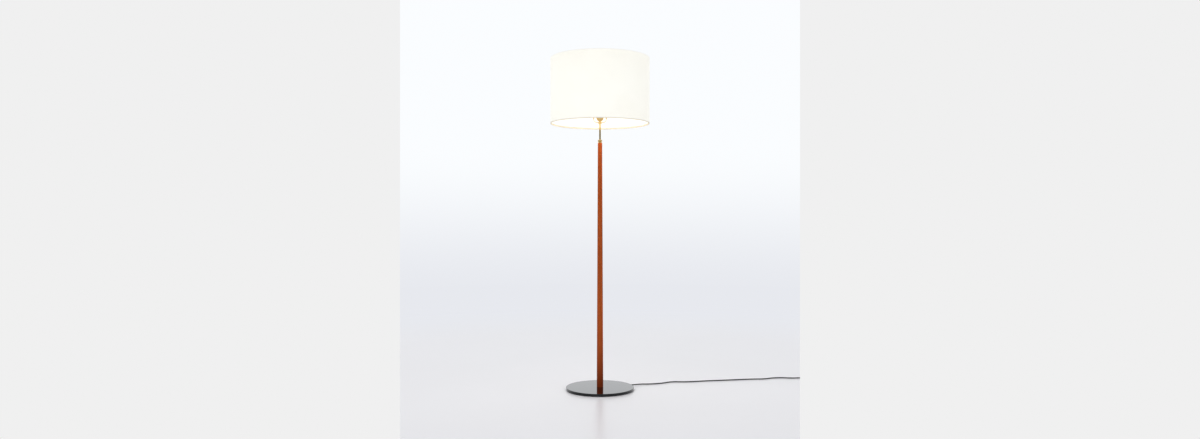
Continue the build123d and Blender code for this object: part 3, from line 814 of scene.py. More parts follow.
class Effects:
    """Node groups that more than one material uses, each built once."""

    made: dict[str, bpy.types.NodeTree] = {}
    drag_share = 0.4
    film_share = 0.6
    thread_wander = 1.6
    upright_slubs = 0.8

    @classmethod
    def start(cls, name: str, inputs: dict[str, object], outputs: Sequence[str]) -> tuple[Graph, dict, dict]:
        """Begin a group.

        Args:
            name: The group's name.
            inputs: Name of each input with its default, None for coordinates.
            outputs: Names of the outputs, all values.

        Returns:
            The group's graph, its input sockets by name and its output sockets by name.
        """
        tree = bpy.data.node_groups.new(name, "ShaderNodeTree")
        for key, value in inputs.items():
            kind = "NodeSocketVector" if value is None else "NodeSocketFloat"
            socket = tree.interface.new_socket(key, in_out="INPUT", socket_type=kind)
            if value is not None:
                socket.default_value = value
        for key in outputs:
            tree.interface.new_socket(key, in_out="OUTPUT", socket_type="NodeSocketFloat")
        graph = Graph(tree)
        entry, leave = graph.add("NodeGroupInput"), graph.add("NodeGroupOutput")
        cls.made[name] = tree
        return graph, {s.name: s for s in entry.outputs}, {s.name: s for s in leave.inputs}

    @classmethod
    def mottle(cls) -> bpy.types.NodeTree:
        """Slow wander between two values, for tone or roughness.

        Returns:
            The group's tree.
        """
        if "surface_mottle" not in cls.made:
            inputs = {"Vector": None, "Scale": 30.0, "Low": 0.0, "High": 1.0}
            graph, given, out = cls.start("surface_mottle", inputs, ["Value"])
            noise = graph.noise(given["Vector"], given["Scale"], detail=4.0, rough=0.6)
            graph.feed(out["Value"], graph.slope(noise, 0.3, 0.7, given["Low"], given["High"]))
        return cls.made["surface_mottle"]

    @classmethod
    def wear(cls) -> bpy.types.NodeTree:
        """Mask of rubbed edges, broken up so that no line of it is even.

        Returns:
            The group's tree.
        """
        if "edge_wear" not in cls.made:
            inputs = {"Vector": None, "Scale": 220.0, "Amount": 0.5}
            graph, given, out = cls.start("edge_wear", inputs, ["Mask"])
            geometry = graph.add("ShaderNodeNewGeometry")
            edge = graph.slope(geometry.outputs["Pointiness"], low=0.505, high=0.57)
            blots = graph.noise(given["Vector"], given["Scale"], detail=5.0, rough=0.65)
            broken = graph.slope(blots, low=0.35, high=0.65)
            rubbed = graph.times(edge, broken)
            graph.feed(out["Mask"], graph.times(rubbed, given["Amount"]))
        return cls.made["edge_wear"]

    @classmethod
    def turning(cls) -> bpy.types.NodeTree:
        """Fine rings that a lathe tool or a polishing cloth leaves round an upright axis.

        Returns:
            The group's tree.
        """
        if "turning_marks" not in cls.made:
            inputs = {"Vector": None, "Pitch": 2600.0}
            graph, given, out = cls.start("turning_marks", inputs, ["Height", "Tone"])
            level = graph.add("ShaderNodeCombineXYZ")
            graph.feed(level.inputs["Z"], graph.axes(given["Vector"])["Z"])
            fine = graph.noise(level.outputs[0], given["Pitch"], detail=2.0, rough=0.6)
            drag = graph.streaks(given["Vector"], (260.0, 260.0, 2200.0), detail=2.0)
            graph.feed(out["Height"], graph.plus(fine, graph.times(drag, cls.drag_share)))
            graph.feed(out["Tone"], graph.slope(drag, low=0.35, high=0.65))
        return cls.made["turning_marks"]

    @classmethod
    def dust(cls) -> bpy.types.NodeTree:
        """Thin dust on what faces up, gathered in patches.

        Returns:
            The group's tree.
        """
        if "dust_film" not in cls.made:
            inputs = {"Vector": None, "Scale": 25.0, "Amount": 0.1}
            graph, given, out = cls.start("dust_film", inputs, ["Mask"])
            normal = graph.add("ShaderNodeNewGeometry").outputs["Normal"]
            facing = graph.slope(graph.axes(normal)["Z"], low=0.35, high=0.95)
            clouds = graph.noise(given["Vector"], given["Scale"], detail=5.0, rough=0.7)
            grit = graph.noise(given["Vector"], scale=900.0, detail=1.0)
            patches, specks = graph.slope(clouds, low=0.35, high=0.75), graph.slope(grit, low=0.66, high=0.72)
            film = graph.times(graph.plus(patches, specks), cls.film_share)
            settled = graph.times(film, facing)
            graph.feed(out["Mask"], graph.times(settled, given["Amount"]))
        return cls.made["dust_film"]

    @classmethod
    def weave(cls) -> bpy.types.NodeTree:
        """Plain linen weave with slubs, over a UV map in metres.

        Returns:
            The group's tree.
        """
        if "linen_weave" not in cls.made:
            inputs = {"UV": None, "Pitch": 0.0009, "Slub": 0.5}
            graph, given, out = cls.start("linen_weave", inputs, ["Height", "Tone", "Open"])
            split = graph.axes(given["UV"])
            wander = graph.noise(given["UV"], scale=90.0, detail=2.0)
            waves = []
            for axis in ("X", "Y"):
                threads = graph.calc("DIVIDE", split[axis], given["Pitch"])
                bent = graph.plus(threads, graph.times(wander, cls.thread_wander))
                waves.append(graph.calc("SINE", graph.times(bent, math.pi)))
            warp, weft = (graph.calc("ABSOLUTE", wave) for wave in waves)
            over = graph.slope(graph.times(*waves), low=-0.25, high=0.25)
            top = graph.plus(graph.times(warp, over),
                            graph.times(weft, graph.minus(1.0, over)))
            along = graph.slope(graph.streaks(given["UV"], (14.0, 700.0, 1.0)), low=0.52, high=0.74)
            up = graph.slope(graph.streaks(given["UV"], (620.0, 11.0, 1.0)), low=0.56, high=0.78)
            thick = graph.calc("MAXIMUM", along, graph.times(up, cls.upright_slubs))
            slubs = graph.times(thick, given["Slub"])
            graph.feed(out["Height"], graph.plus(top, slubs))
            graph.feed(out["Tone"], slubs)
            between, beside = (graph.minus(1.0, threads) for threads in (warp, weft))
            graph.feed(out["Open"], graph.times(between, beside))
        return cls.made["linen_weave"]


@dataclass(frozen=True)
class Finish:
    """A finish that wanders a little in tone and roughness; the plain kind suits moulded plastic and card."""

    name: str
    colour: Colour
    deep: Colour
    rough: Pair = (0.4, 0.55)
    metallic: float = 0.0
    specular: float = 0.5
    wander: float = 40.0
    grain: float = 1500.0
    grain_depth: float = 0.00002
    dusty: float = 0.0
    glow: float = 0.0
    glow_colour: Colour = (1.0, 0.93, 0.82)
    dust_colour: Colour = (0.42, 0.40, 0.37)
    sheen_wander: float = 2.3

    def material(self) -> bpy.types.Material:
        """The Blender material, made at its first use.

        Returns:
            The material.
        """
        name = "finish_" + self.name
        if name in bpy.data.materials:
            return bpy.data.materials[name]
        made = bpy.data.materials.new(name)
        made.use_nodes = True
        graph = Graph(made.node_tree)
        shader = made.node_tree.nodes["Principled BSDF"]
        for key, value in (("Metallic", self.metallic), ("Specular IOR Level", self.specular),
                           ("Emission Strength", self.glow), ("Emission Color", (*self.glow_colour, 1.0))):
            shader.inputs[key].default_value = value
        self.paint(graph, shader, graph.add("ShaderNodeTexCoord").outputs["Object"])
        made.diffuse_color = (*self.colour, 1.0)
        return made

    def tone(self, graph: Graph, where: Socket) -> Socket:
        """Colour that wanders between the finish's two, with dust where it has any.

        Args:
            graph: The material's nodes.
            where: Coordinates in metres.

        Returns:
            The colour.
        """
        spread = graph.group(Effects.mottle(), Vector=where, Scale=self.wander).outputs["Value"]
        colour = graph.mix(spread, self.colour, self.deep)
        if self.dusty:
            film = graph.group(Effects.dust(), Vector=where, Amount=self.dusty).outputs["Mask"]
            colour = graph.mix(film, colour, self.dust_colour)
        return colour

    def sheen(self, graph: Graph, where: Socket) -> Socket:
        """Roughness that wanders between the finish's two values.

        Args:
            graph: The material's nodes.
            where: Coordinates in metres.

        Returns:
            The roughness.
        """
        low, high = self.rough
        scale = self.wander * self.sheen_wander
        return graph.group(Effects.mottle(), Vector=where, Scale=scale, Low=low, High=high).outputs["Value"]

    def paint(self, graph: Graph, shader: bpy.types.Node, where: Socket) -> None:
        """Fill the material's nodes.

        Args:
            graph: The material's graph.
            shader: Its Principled BSDF.
            where: Object coordinates.
        """
        graph.feed(shader.inputs["Base Color"], self.tone(graph, where))
        graph.feed(shader.inputs["Roughness"], self.sheen(graph, where))
        height = graph.noise(where, self.grain)
        graph.feed(shader.inputs["Normal"], graph.bump(height, self.grain_depth))


@dataclass(frozen=True)
class Metal(Finish):
    """Polished metal with lathe marks, tarnish and bright rubbed edges."""

    metallic: float = 1.0
    bright: Colour = (0.9, 0.72, 0.42)
    pitch: float = 2600.0
    mark_depth: float = 0.000012
    worn: float = 0.6
    mark_rough: float = 0.06

    def paint(self, graph: Graph, shader: bpy.types.Node, where: Socket) -> None:
        """Fill the material's nodes, as Finish does, with rings and wear.

        Args:
            graph: The material's nodes.
            shader: Its surface node.
            where: Coordinates in metres.
        """
        rubbed = graph.group(Effects.wear(), Vector=where, Amount=self.worn).outputs["Mask"]
        graph.feed(shader.inputs["Base Color"], graph.mix(rubbed, self.tone(graph, where), self.bright))
        marks = graph.group(Effects.turning(), Vector=where, Pitch=self.pitch)
        dull = graph.times(marks.outputs["Tone"], self.mark_rough)
        graph.feed(shader.inputs["Roughness"], graph.plus(self.sheen(graph, where), dull))
        graph.feed(shader.inputs["Normal"], graph.bump(marks.outputs["Height"], self.mark_depth))


@dataclass(frozen=True)
class Enamel(Finish):
    """Black gloss under a clear coat, with faint orange peel, hairline rubs and a little dust."""

    coat: float = 1.0
    coat_rough: float = 0.01
    coat_bend: float = 1.33
    tint: Colour = (0.78, 0.90, 1.0)
    rub_scale: Place = (35.0, 900.0, 35.0)
    rub_rough: float = 0.03

    def paint(self, graph: Graph, shader: bpy.types.Node, where: Socket) -> None:
        """Fill the material's nodes, as Finish does, with a coat and fine rubs.

        Args:
            graph: The material's nodes.
            shader: Its surface node.
            where: Coordinates in metres.
        """
        for key, value in (("Coat Weight", self.coat), ("Coat Roughness", self.coat_rough),
                           ("Coat IOR", self.coat_bend), ("Specular Tint", (*self.tint, 1.0))):
            shader.inputs[key].default_value = value
        graph.feed(shader.inputs["Base Color"], self.tone(graph, where))
        rubs = graph.slope(graph.streaks(where, self.rub_scale, detail=4.0), low=0.62, high=0.75)
        rough = graph.plus(self.sheen(graph, where), graph.times(rubs, self.rub_rough))
        graph.feed(shader.inputs["Roughness"], rough)
        peel = graph.noise(where, self.grain, detail=1.0)
        graph.feed(shader.inputs["Normal"], graph.bump(peel, self.grain_depth))


@dataclass(frozen=True)
class Timber(Finish):
    """Oiled teak turned from a straight board: growth rings cut by the taper, fibre streaks and pores."""

    ring_width: float = 0.0034
    wave_scale: Place = (9.0, 9.0, 1.6)
    wave_reach: float = 0.016
    fibre_scale: Place = (800.0, 800.0, 14.0)
    streak_scale: Place = (110.0, 110.0, 3.5)
    pore_scale: Place = (2400.0, 2400.0, 60.0)
    ring_share: float = 0.5
    fibre_share: float = 0.32
    streak_share: float = 0.2
    pore_share: float = 0.6
    pore_rough: float = 0.2
    fibre_relief: float = 0.15
    heart: Pair = (0.052, -0.021)
    lean: Pair = (0.011, 0.006)
    pore_colour: Colour = (0.07, 0.014, 0.003)
    # Painted shade: the column is painted darker towards its foot, where less light falls.
    foot_shade_colour: Colour = (0.14, 0.017, 0.002)
    foot_shade_span: Pair = (0.30, -0.10)

    def rings(self, graph: Graph, where: Socket) -> Socket:
        """Growth rings from 0 in early wood to 1 in late wood, about a leaning heart line.

        Args:
            graph: The material's nodes.
            where: Coordinates in metres.

        Returns:
            1 where late wood shows.
        """
        split = graph.axes(where)
        squares = []
        for axis, heart, lean in zip("XY", self.heart, self.lean):
            slid = graph.plus(split[axis], graph.times(split["Z"], lean))
            squares.append(graph.calc("POWER", graph.minus(slid, heart), 2.0))
        reach = graph.calc("SQRT", graph.plus(*squares))
        wave = graph.streaks(where, self.wave_scale, detail=2.0)
        uneven = graph.plus(reach, graph.times(wave, self.wave_reach))
        year = graph.calc("FRACT", graph.calc("DIVIDE", uneven, self.ring_width))
        late = graph.slope(year, low=0.35, high=0.9)
        return graph.times(late, graph.slope(year, low=1.0, high=0.93))

    def paint(self, graph: Graph, shader: bpy.types.Node, where: Socket) -> None:
        """Fill the material's nodes with rings, fibre and pores, and a foot painted darker as shade.

        Args:
            graph: The material's nodes.
            shader: Its surface node.
            where: Coordinates in metres.
        """
        threads = graph.streaks(where, self.fibre_scale, detail=4.0, rough=0.65)
        fibre = graph.slope(threads, low=0.3, high=0.7)
        streak = graph.slope(graph.streaks(where, self.streak_scale), low=0.36, high=0.66)
        pores = graph.slope(graph.streaks(where, self.pore_scale, detail=1.0), low=0.58, high=0.68)
        share = graph.times(self.rings(graph, where), self.ring_share)
        for pattern, amount in ((fibre, self.fibre_share), (streak, self.streak_share)):
            share = graph.plus(share, graph.times(pattern, amount))
        wood = graph.mix(graph.calc("MINIMUM", share, 1.0), self.colour, self.deep)
        wood = graph.mix(graph.times(pores, self.pore_share), wood, self.pore_colour)
        # Painted shade: the wood darkens towards the foot.
        wood = graph.mix(graph.slope(graph.axes(where)["Z"], *self.foot_shade_span), wood, self.foot_shade_colour)
        graph.feed(shader.inputs["Base Color"], wood)
        rough = graph.plus(self.sheen(graph, where), graph.times(pores, self.pore_rough))
        graph.feed(shader.inputs["Roughness"], rough)
        relief = graph.minus(graph.times(fibre, self.fibre_relief), pores)
        graph.feed(shader.inputs["Normal"], graph.bump(relief, self.grain_depth))


@dataclass(frozen=True)
class Linen(Finish):
    """Linen with the bulb's light behind it painted in as a glow: its slubs show dark, its gaps show light,
    it glows most beside the bulb, and the wires' shadow is painted at its edges.
    """

    slub: float = 0.6
    bulb_height: float = 1.352
    falloff: float = 0.30
    bottom: float = 1.2257
    top: float = 1.526
    wire_shadow: Pair = (0.0025, 0.0055)
    top_share: float = 3.0
    inner_share: float = 0.6
    # Painted shadow: colours of the hem folds, outside and inside, where the wire rings shade them.
    fold_shadow_colour: Colour = (0.72, 0.69, 0.64)
    fold_shadow_inside: Colour = (0.56, 0.49, 0.40)
    inner_face: Pair = (0.2245, 0.2268)
    patch_tone: float = 0.3
    slub_tone: float = 0.7
    slub_shade: float = 0.35
    gap_light: float = 0.2
    # Shares of the painted glow away from the bulb, and where the wires shade the edges.
    dim_share: Colour = (0.95, 0.93, 0.88)
    blocked_share: Colour = (0.57, 0.525, 0.44)

    def glow_by(self, share: Colour) -> Colour:
        """Glow's colour, less in each channel by a share."""
        return tuple(part * less for part, less in zip(self.glow_colour, share))

    def paint(self, graph: Graph, shader: bpy.types.Node, where: Socket) -> None:
        """Fill the material's nodes with the weave, the painted shadow of the wires on the folds and the
        painted glow.

        Args:
            graph: The material's nodes.
            shader: Its surface node.
            where: Coordinates in metres.
        """
        uv = graph.add("ShaderNodeUVMap", uv_map="UVMap").outputs["UV"]
        weave = graph.group(Effects.weave(), UV=uv, Slub=self.slub)
        thick = weave.outputs["Tone"]
        split = graph.axes(where)
        height = split["Z"]
        level = graph.add("ShaderNodeCombineXYZ")
        for axis in "XY":
            graph.feed(level.inputs[axis], split[axis])
        outside = graph.slope(graph.length(level.outputs[0]), *self.inner_face)
        below = graph.times(graph.minus(self.top, height), self.top_share)
        edge = graph.calc("MINIMUM", graph.minus(height, self.bottom), below)
        spread = graph.slope(outside, low=0.0, high=1.0, start=self.inner_share, end=1.0)
        # Painted shadow: along the top and bottom edges the wire rings' shadow is painted, darkening the
        # cloth's colour there and cutting its glow.
        clear = graph.slope(graph.times(edge, spread), *self.wire_shadow)
        patch = graph.group(Effects.mottle(), Vector=uv, Scale=self.wander, High=self.patch_tone)
        tone = graph.plus(graph.times(thick, self.slub_tone), patch.outputs["Value"])
        cloth = graph.mix(graph.calc("MINIMUM", tone, 1.0), self.colour, self.deep)
        wire_shadowed_fold = graph.mix(outside, self.fold_shadow_inside, self.fold_shadow_colour)
        graph.feed(shader.inputs["Base Color"], graph.mix(clear, wire_shadowed_fold, cloth))
        graph.feed(shader.inputs["Roughness"], self.sheen(graph, where))
        graph.feed(shader.inputs["Normal"], graph.bump(weave.outputs["Height"], self.grain_depth))
        # Painted light: the glow stands in for the bulb's light shining through the cloth, strongest beside
        # the bulb, lighter in the weave's gaps and darker at slubs.
        away = graph.calc("ABSOLUTE", graph.minus(height, self.bulb_height))
        near = graph.slope(away, low=0.0, high=self.falloff, start=1.0, end=0.0)
        light = graph.plus(near, graph.times(weave.outputs["Open"], self.gap_light))
        light = graph.minus(light, graph.times(thick, self.slub_shade))
        lit = graph.mix(light, self.glow_by(self.dim_share), self.glow_colour)
        through = graph.times(clear, outside)
        graph.feed(shader.inputs["Emission Color"], graph.mix(through, self.glow_by(self.blocked_share), lit))


@dataclass(frozen=True)
class Felt(Finish):
    """Pressed wool felt, matt and hairy."""

    hair_scale: Place = (900.0, 1400.0, 1100.0)
    fuzz: float = 0.5
    fuzz_rough: float = 0.6

    def paint(self, graph: Graph, shader: bpy.types.Node, where: Socket) -> None:
        """Fill the material's nodes, as Finish does, with fibres and a soft sheen.

        Args:
            graph: The material's nodes.
            shader: Its surface node.
            where: Coordinates in metres.
        """
        shader.inputs["Sheen Weight"].default_value = self.fuzz
        shader.inputs["Sheen Roughness"].default_value = self.fuzz_rough
        hairs = graph.streaks(where, self.hair_scale, detail=5.0, rough=0.75)
        shade = graph.slope(hairs, low=0.3, high=0.7)
        graph.feed(shader.inputs["Base Color"], graph.mix(shade, self.colour, self.deep))
        graph.feed(shader.inputs["Roughness"], self.sheen(graph, where))
        graph.feed(shader.inputs["Normal"], graph.bump(hairs, self.grain_depth))


@dataclass(frozen=True)
class Clear(Finish):
    """Clear glass."""

    def paint(self, graph: Graph, shader: bpy.types.Node, where: Socket) -> None:
        """Fill the material's nodes, as Finish does, and let light through."""
        shader.inputs["Transmission Weight"].default_value = 1.0
        super().paint(graph, shader, where)


FINISHES: dict[Slot, Finish] = {
    Slot.BASE: Enamel("black_enamel", (0.0004, 0.0006, 0.0008), (0.0009, 0.0012, 0.0015),
                      rough=(0.01, 0.02), wander=12.0, specular=0.10, grain=260.0,
                      grain_depth=0.0000015, dusty=0.0015),
    Slot.FELT: Felt("wool_felt", (0.020, 0.022, 0.020), (0.045, 0.048, 0.043), rough=(0.9, 1.0),
                    grain_depth=0.0003),
    Slot.ZINC: Metal("zinc_steel", (0.62, 0.63, 0.64), (0.48, 0.49, 0.50), rough=(0.3, 0.42),
                     bright=(0.8, 0.8, 0.8)),
    Slot.RUBBER: Finish("flex_rubber", (0.010, 0.010, 0.011), (0.018, 0.018, 0.020), rough=(0.40, 0.55),
                        grain=2200.0, grain_depth=0.00003, dusty=0.05),
    Slot.PLUG_BRASS: Metal("pin_brass", (0.86, 0.66, 0.35), (0.72, 0.52, 0.25), rough=(0.2, 0.32)),
    Slot.TEAK: Timber("teak", (0.58, 0.118, 0.020), (0.20, 0.028, 0.004), rough=(0.34, 0.44),
                      specular=0.10, grain_depth=0.00003),
    Slot.BRASS: Metal("satin_brass", (0.93, 0.69, 0.31), (0.82, 0.58, 0.24), rough=(0.36, 0.48),
                      wander=90.0),
    Slot.STEM: Metal("stem_brass", (0.86, 0.68, 0.32), (0.68, 0.52, 0.23), rough=(0.05, 0.09),
                     wander=60.0, pitch=1500.0, mark_depth=0.000003, worn=0.3),
    Slot.SPRING: Metal("spring_steel", (0.50, 0.50, 0.50), (0.36, 0.35, 0.34), rough=(0.25, 0.4),
                       bright=(0.75, 0.75, 0.75)),
    Slot.HARP: Metal("harp_brass", (0.90, 0.66, 0.29), (0.74, 0.52, 0.21), rough=(0.20, 0.32),
                     wander=70.0, pitch=900.0, worn=0.4),
    Slot.CARD: Finish("insulating_card", (0.33, 0.22, 0.12), (0.25, 0.16, 0.08), rough=(0.75, 0.9),
                      grain=700.0, grain_depth=0.00008),
    Slot.PHENOLIC: Finish("phenolic", (0.022, 0.016, 0.013), (0.035, 0.025, 0.020), rough=(0.3, 0.45)),
    Slot.KNOB: Finish("knob_black", (0.014, 0.013, 0.012), (0.022, 0.020, 0.018), rough=(0.24, 0.36),
                      grain=900.0, grain_depth=0.00001),
    Slot.LEAD: Finish("lead_white", (0.78, 0.77, 0.73), (0.68, 0.66, 0.60), rough=(0.4, 0.5)),
    Slot.OPAL: Finish("opal_glass", (0.92, 0.91, 0.88), (0.88, 0.86, 0.82), rough=(0.12, 0.2),
                      grain_depth=0.000002, glow=1.6, glow_colour=(1.0, 0.90, 0.74)),
    Slot.ALUMINIUM: Metal("bulb_aluminium", (0.72, 0.72, 0.71), (0.58, 0.57, 0.55), rough=(0.25, 0.4),
                          bright=(0.85, 0.85, 0.85)),
    Slot.GLASS: Clear("clear_glass", (0.97, 0.98, 0.98), (0.95, 0.96, 0.96), rough=(0.02, 0.05),
                      grain_depth=0.000002),
    # Painted light: the linen's glow stands in for the bulb's light shining through the shade.
    Slot.LINEN: Linen("ivory_linen", (0.82, 0.81, 0.775), (0.72, 0.695, 0.63), rough=(0.8, 0.92),
                      specular=0.25, wander=9.0, grain_depth=0.00022, glow=0.43,
                      glow_colour=(1.0, 0.99, 0.89)),
    # Painted light: the lining's glow stands in for the bulb's light on the inside of the shade.
    Slot.STYRENE: Finish("white_styrene", (0.84, 0.83, 0.79), (0.78, 0.765, 0.71), rough=(0.35, 0.5),
                         wander=14.0, grain=420.0, grain_depth=0.00004, glow=0.46,
                         glow_colour=(1.0, 0.95, 0.86)),
    Slot.RING: Finish("white_wire", (0.74, 0.73, 0.70), (0.66, 0.65, 0.61), rough=(0.28, 0.4),
                      grain=800.0, grain_depth=0.00002),
}


# Camera and cord


@dataclass(frozen=True)
class CameraView:
    """The photograph's viewpoint: level, in front of the lamp."""

    place: Place = (0.0, -3693.0, 784.8)
    lens: float = 24.0
    sensor: float = 36.0
    nearest: float = 5.0

    def build(self) -> bpy.types.Object:
        """Make the camera and give it to the scene.

        Returns:
            The camera.
        """
        data = bpy.data.cameras.new("photo_view")
        data.lens, data.sensor_width, data.clip_start = self.lens, self.sensor, self.nearest * MM
        made = new_object("photo_view", data)
        made.location = Vector(self.place) * MM
        made.rotation_euler = (math.radians(90), 0, 0)
        bpy.context.scene.camera = made
        return made


@dataclass(frozen=True)
class FlexCord:
    """The mains flex on the floor: a loose run out of the picture, a neat coil, and its plug."""

    diameter: float = 5.2
    length: float = 2.05
    exit_azimuth: float = 28.8
    exit_reach: float = 179.5
    exit_height: float = 4.4
    floor_height: float = 2.65
    first_run: float = 34.0
    tucked_in: float = 4.0
    run: tuple[Pair, ...] = (
        (238, 111), (296, 129), (345, 168), (396, 162), (452, 169), (512, 186), (574, 197), (636, 209),
        (700, 221), (752, 231), (806, 232), (846, 258), (893, 266), (948, 254), (988, 262), (1027, 261),
        (1064, 265),
    )
    coil_inner: float = 20.0
    coil_half_turns: int = 6
    coil_pitch: float = 5.8
    coil_rise: float = 5.7
    lead_in: float = 6.0
    lead_out: float = 28.0
    steps_per_half_turn: int = 8
    tube_resolution: int = 5
    line_resolution: int = 10
    relief_length: float = 22.0
    relief_radii: Pair = (3.7, 3.1)
    relief_mouth: float = 2.62
    relief_ribs: int = 6
    relief_collar: float = 3.4
    relief_plain: float = 4.0
    relief_groove: float = 0.55
    relief_gap: float = 0.1
    neck_length: float = 8.5
    neck_radius: float = 2.4
    anchor: Place = (11.0, 8.2, 5.4)
    anchor_behind: float = 8.6

    @property
    def outward(self) -> Matrix:
        """Turn that lays +X along the direction in which the flex leaves the base."""
        return swung(self.exit_azimuth)

    @property
    def heading(self) -> Matrix:
        """Turn that lays +X along the run's last stretch, as the coil and the plug lie."""
        (x0, y0), (x1, y1) = self.run[-2:]
        return Matrix.Rotation(math.atan2(y1 - y0, x1 - x0), 4, "Z")

    def coil(self) -> list[Vector]:
        """Points of the coil after its entry, in the coil's own frame, in along +X and turning left.

        Returns:
            Points along the coil.
        """
        outer = self.coil_inner + self.coil_half_turns * self.coil_pitch / 2
        radii = [outer - index * self.coil_pitch / 2 for index in range(self.coil_half_turns)]
        plan = [(radius, 0.0) for radius in radii] + [(self.coil_inner, self.coil_rise)]
        plan += [(radius, 0.0) for radius in reversed(radii[1:])]
        here, side = Vector((0, -outer, 0)), 1
        points = [here.copy()]
        for radius, rise in plan:
            centre = here + Vector((0, radius * side, 0))
            for step in range(1, self.steps_per_half_turn + 1):
                share = step / self.steps_per_half_turn
                arm = Matrix.Rotation(math.pi * share, 3, "Z") @ Vector((0, -radius * side, 0))
                points.append(centre + arm + Vector((0, 0, rise * share)))
            here, side = points[-1], -side
        return points + [here + Vector((self.lead_out * side * share, 0, 0)) for share in (0.5, 1.0)]

    def points(self) -> list[Vector]:
        """Control points of the whole cord, from inside the strain relief to the plug.

        Returns:
            Points from the rim to the plug.
        """
        start = [self.exit_reach - self.tucked_in, self.exit_reach + self.first_run]
        route = [self.outward @ Vector((reach, 0, self.exit_height)) for reach in start]
        route += [Vector((x, y, self.floor_height)) for x, y in self.run]
        entry = Vector((-self.lead_in, self.coil()[0].y, 0))
        return route + [route[-1] + self.heading @ (point - entry) for point in self.coil()]

    def build_line(self) -> bpy.types.Object:
        """The cord itself, a smooth curve with its points on the route.

        Returns:
            The cord.
        """
        data = bpy.data.curves.new("flex_cord", "CURVE")
        data.dimensions = "3D"
        data.bevel_depth = self.diameter / 2 * MM
        data.bevel_resolution = self.tube_resolution
        data.resolution_u = self.line_resolution
        data.use_fill_caps = True
        spline = data.splines.new("NURBS")
        route = self.points()
        spline.points.add(len(route) - 1)
        for point, place in zip(spline.points, route):
            point.co = (*(place * MM), 1.0)
        spline.order_u = 3
        spline.use_endpoint_u = True
        return settle(new_object("flex_cord", data), Slot.RUBBER, Body.BASE, ["cord_run", "cord_coil"])

    def build_relief(self) -> bpy.types.Object:
        """Tapered and ribbed strain relief where the flex leaves the rim, with its anchor inside.

        Returns:
            The piece.
        """
        near, far = self.exit_reach - self.relief_length + self.relief_gap, self.exit_reach
        large, small = self.relief_radii
        outline = [Corner(0, near - self.neck_length), Corner(self.neck_radius, near - self.neck_length),
                   Corner(self.neck_radius, near), Corner(large, near, 0.5)]
        pitch = (far - near - self.relief_plain) / self.relief_ribs
        for index in range(self.relief_ribs):
            at = near + self.relief_collar + index * pitch
            radius = large + (small - large) * (at - near) / (far - near)
            outline += groove(at, radius, (radius - self.relief_groove,) * 2, radius)
        outline += [Corner(small, far, 0.4), Corner(self.relief_mouth, far), Corner(0, far)]
        form = turned(outline, steps=48).put(swung(90, "Y"))
        form.take(Form().slab(self.anchor, rounding=0.4), moved(x=near - self.anchor_behind))
        form.put(self.outward @ moved(z=self.exit_height))
        return form.piece("flex_relief", Slot.RUBBER, Body.BASE, ["strain_relief"])

    def build(self) -> list[bpy.types.Object]:
        """Returns:
            The cord and what ends it.
        """
        line, relief = self.build_line(), self.build_relief()
        end = Matrix.Translation(self.points()[-1]) @ self.heading
        plug = MainsPlug(end).build()
        return [line, relief, *plug]


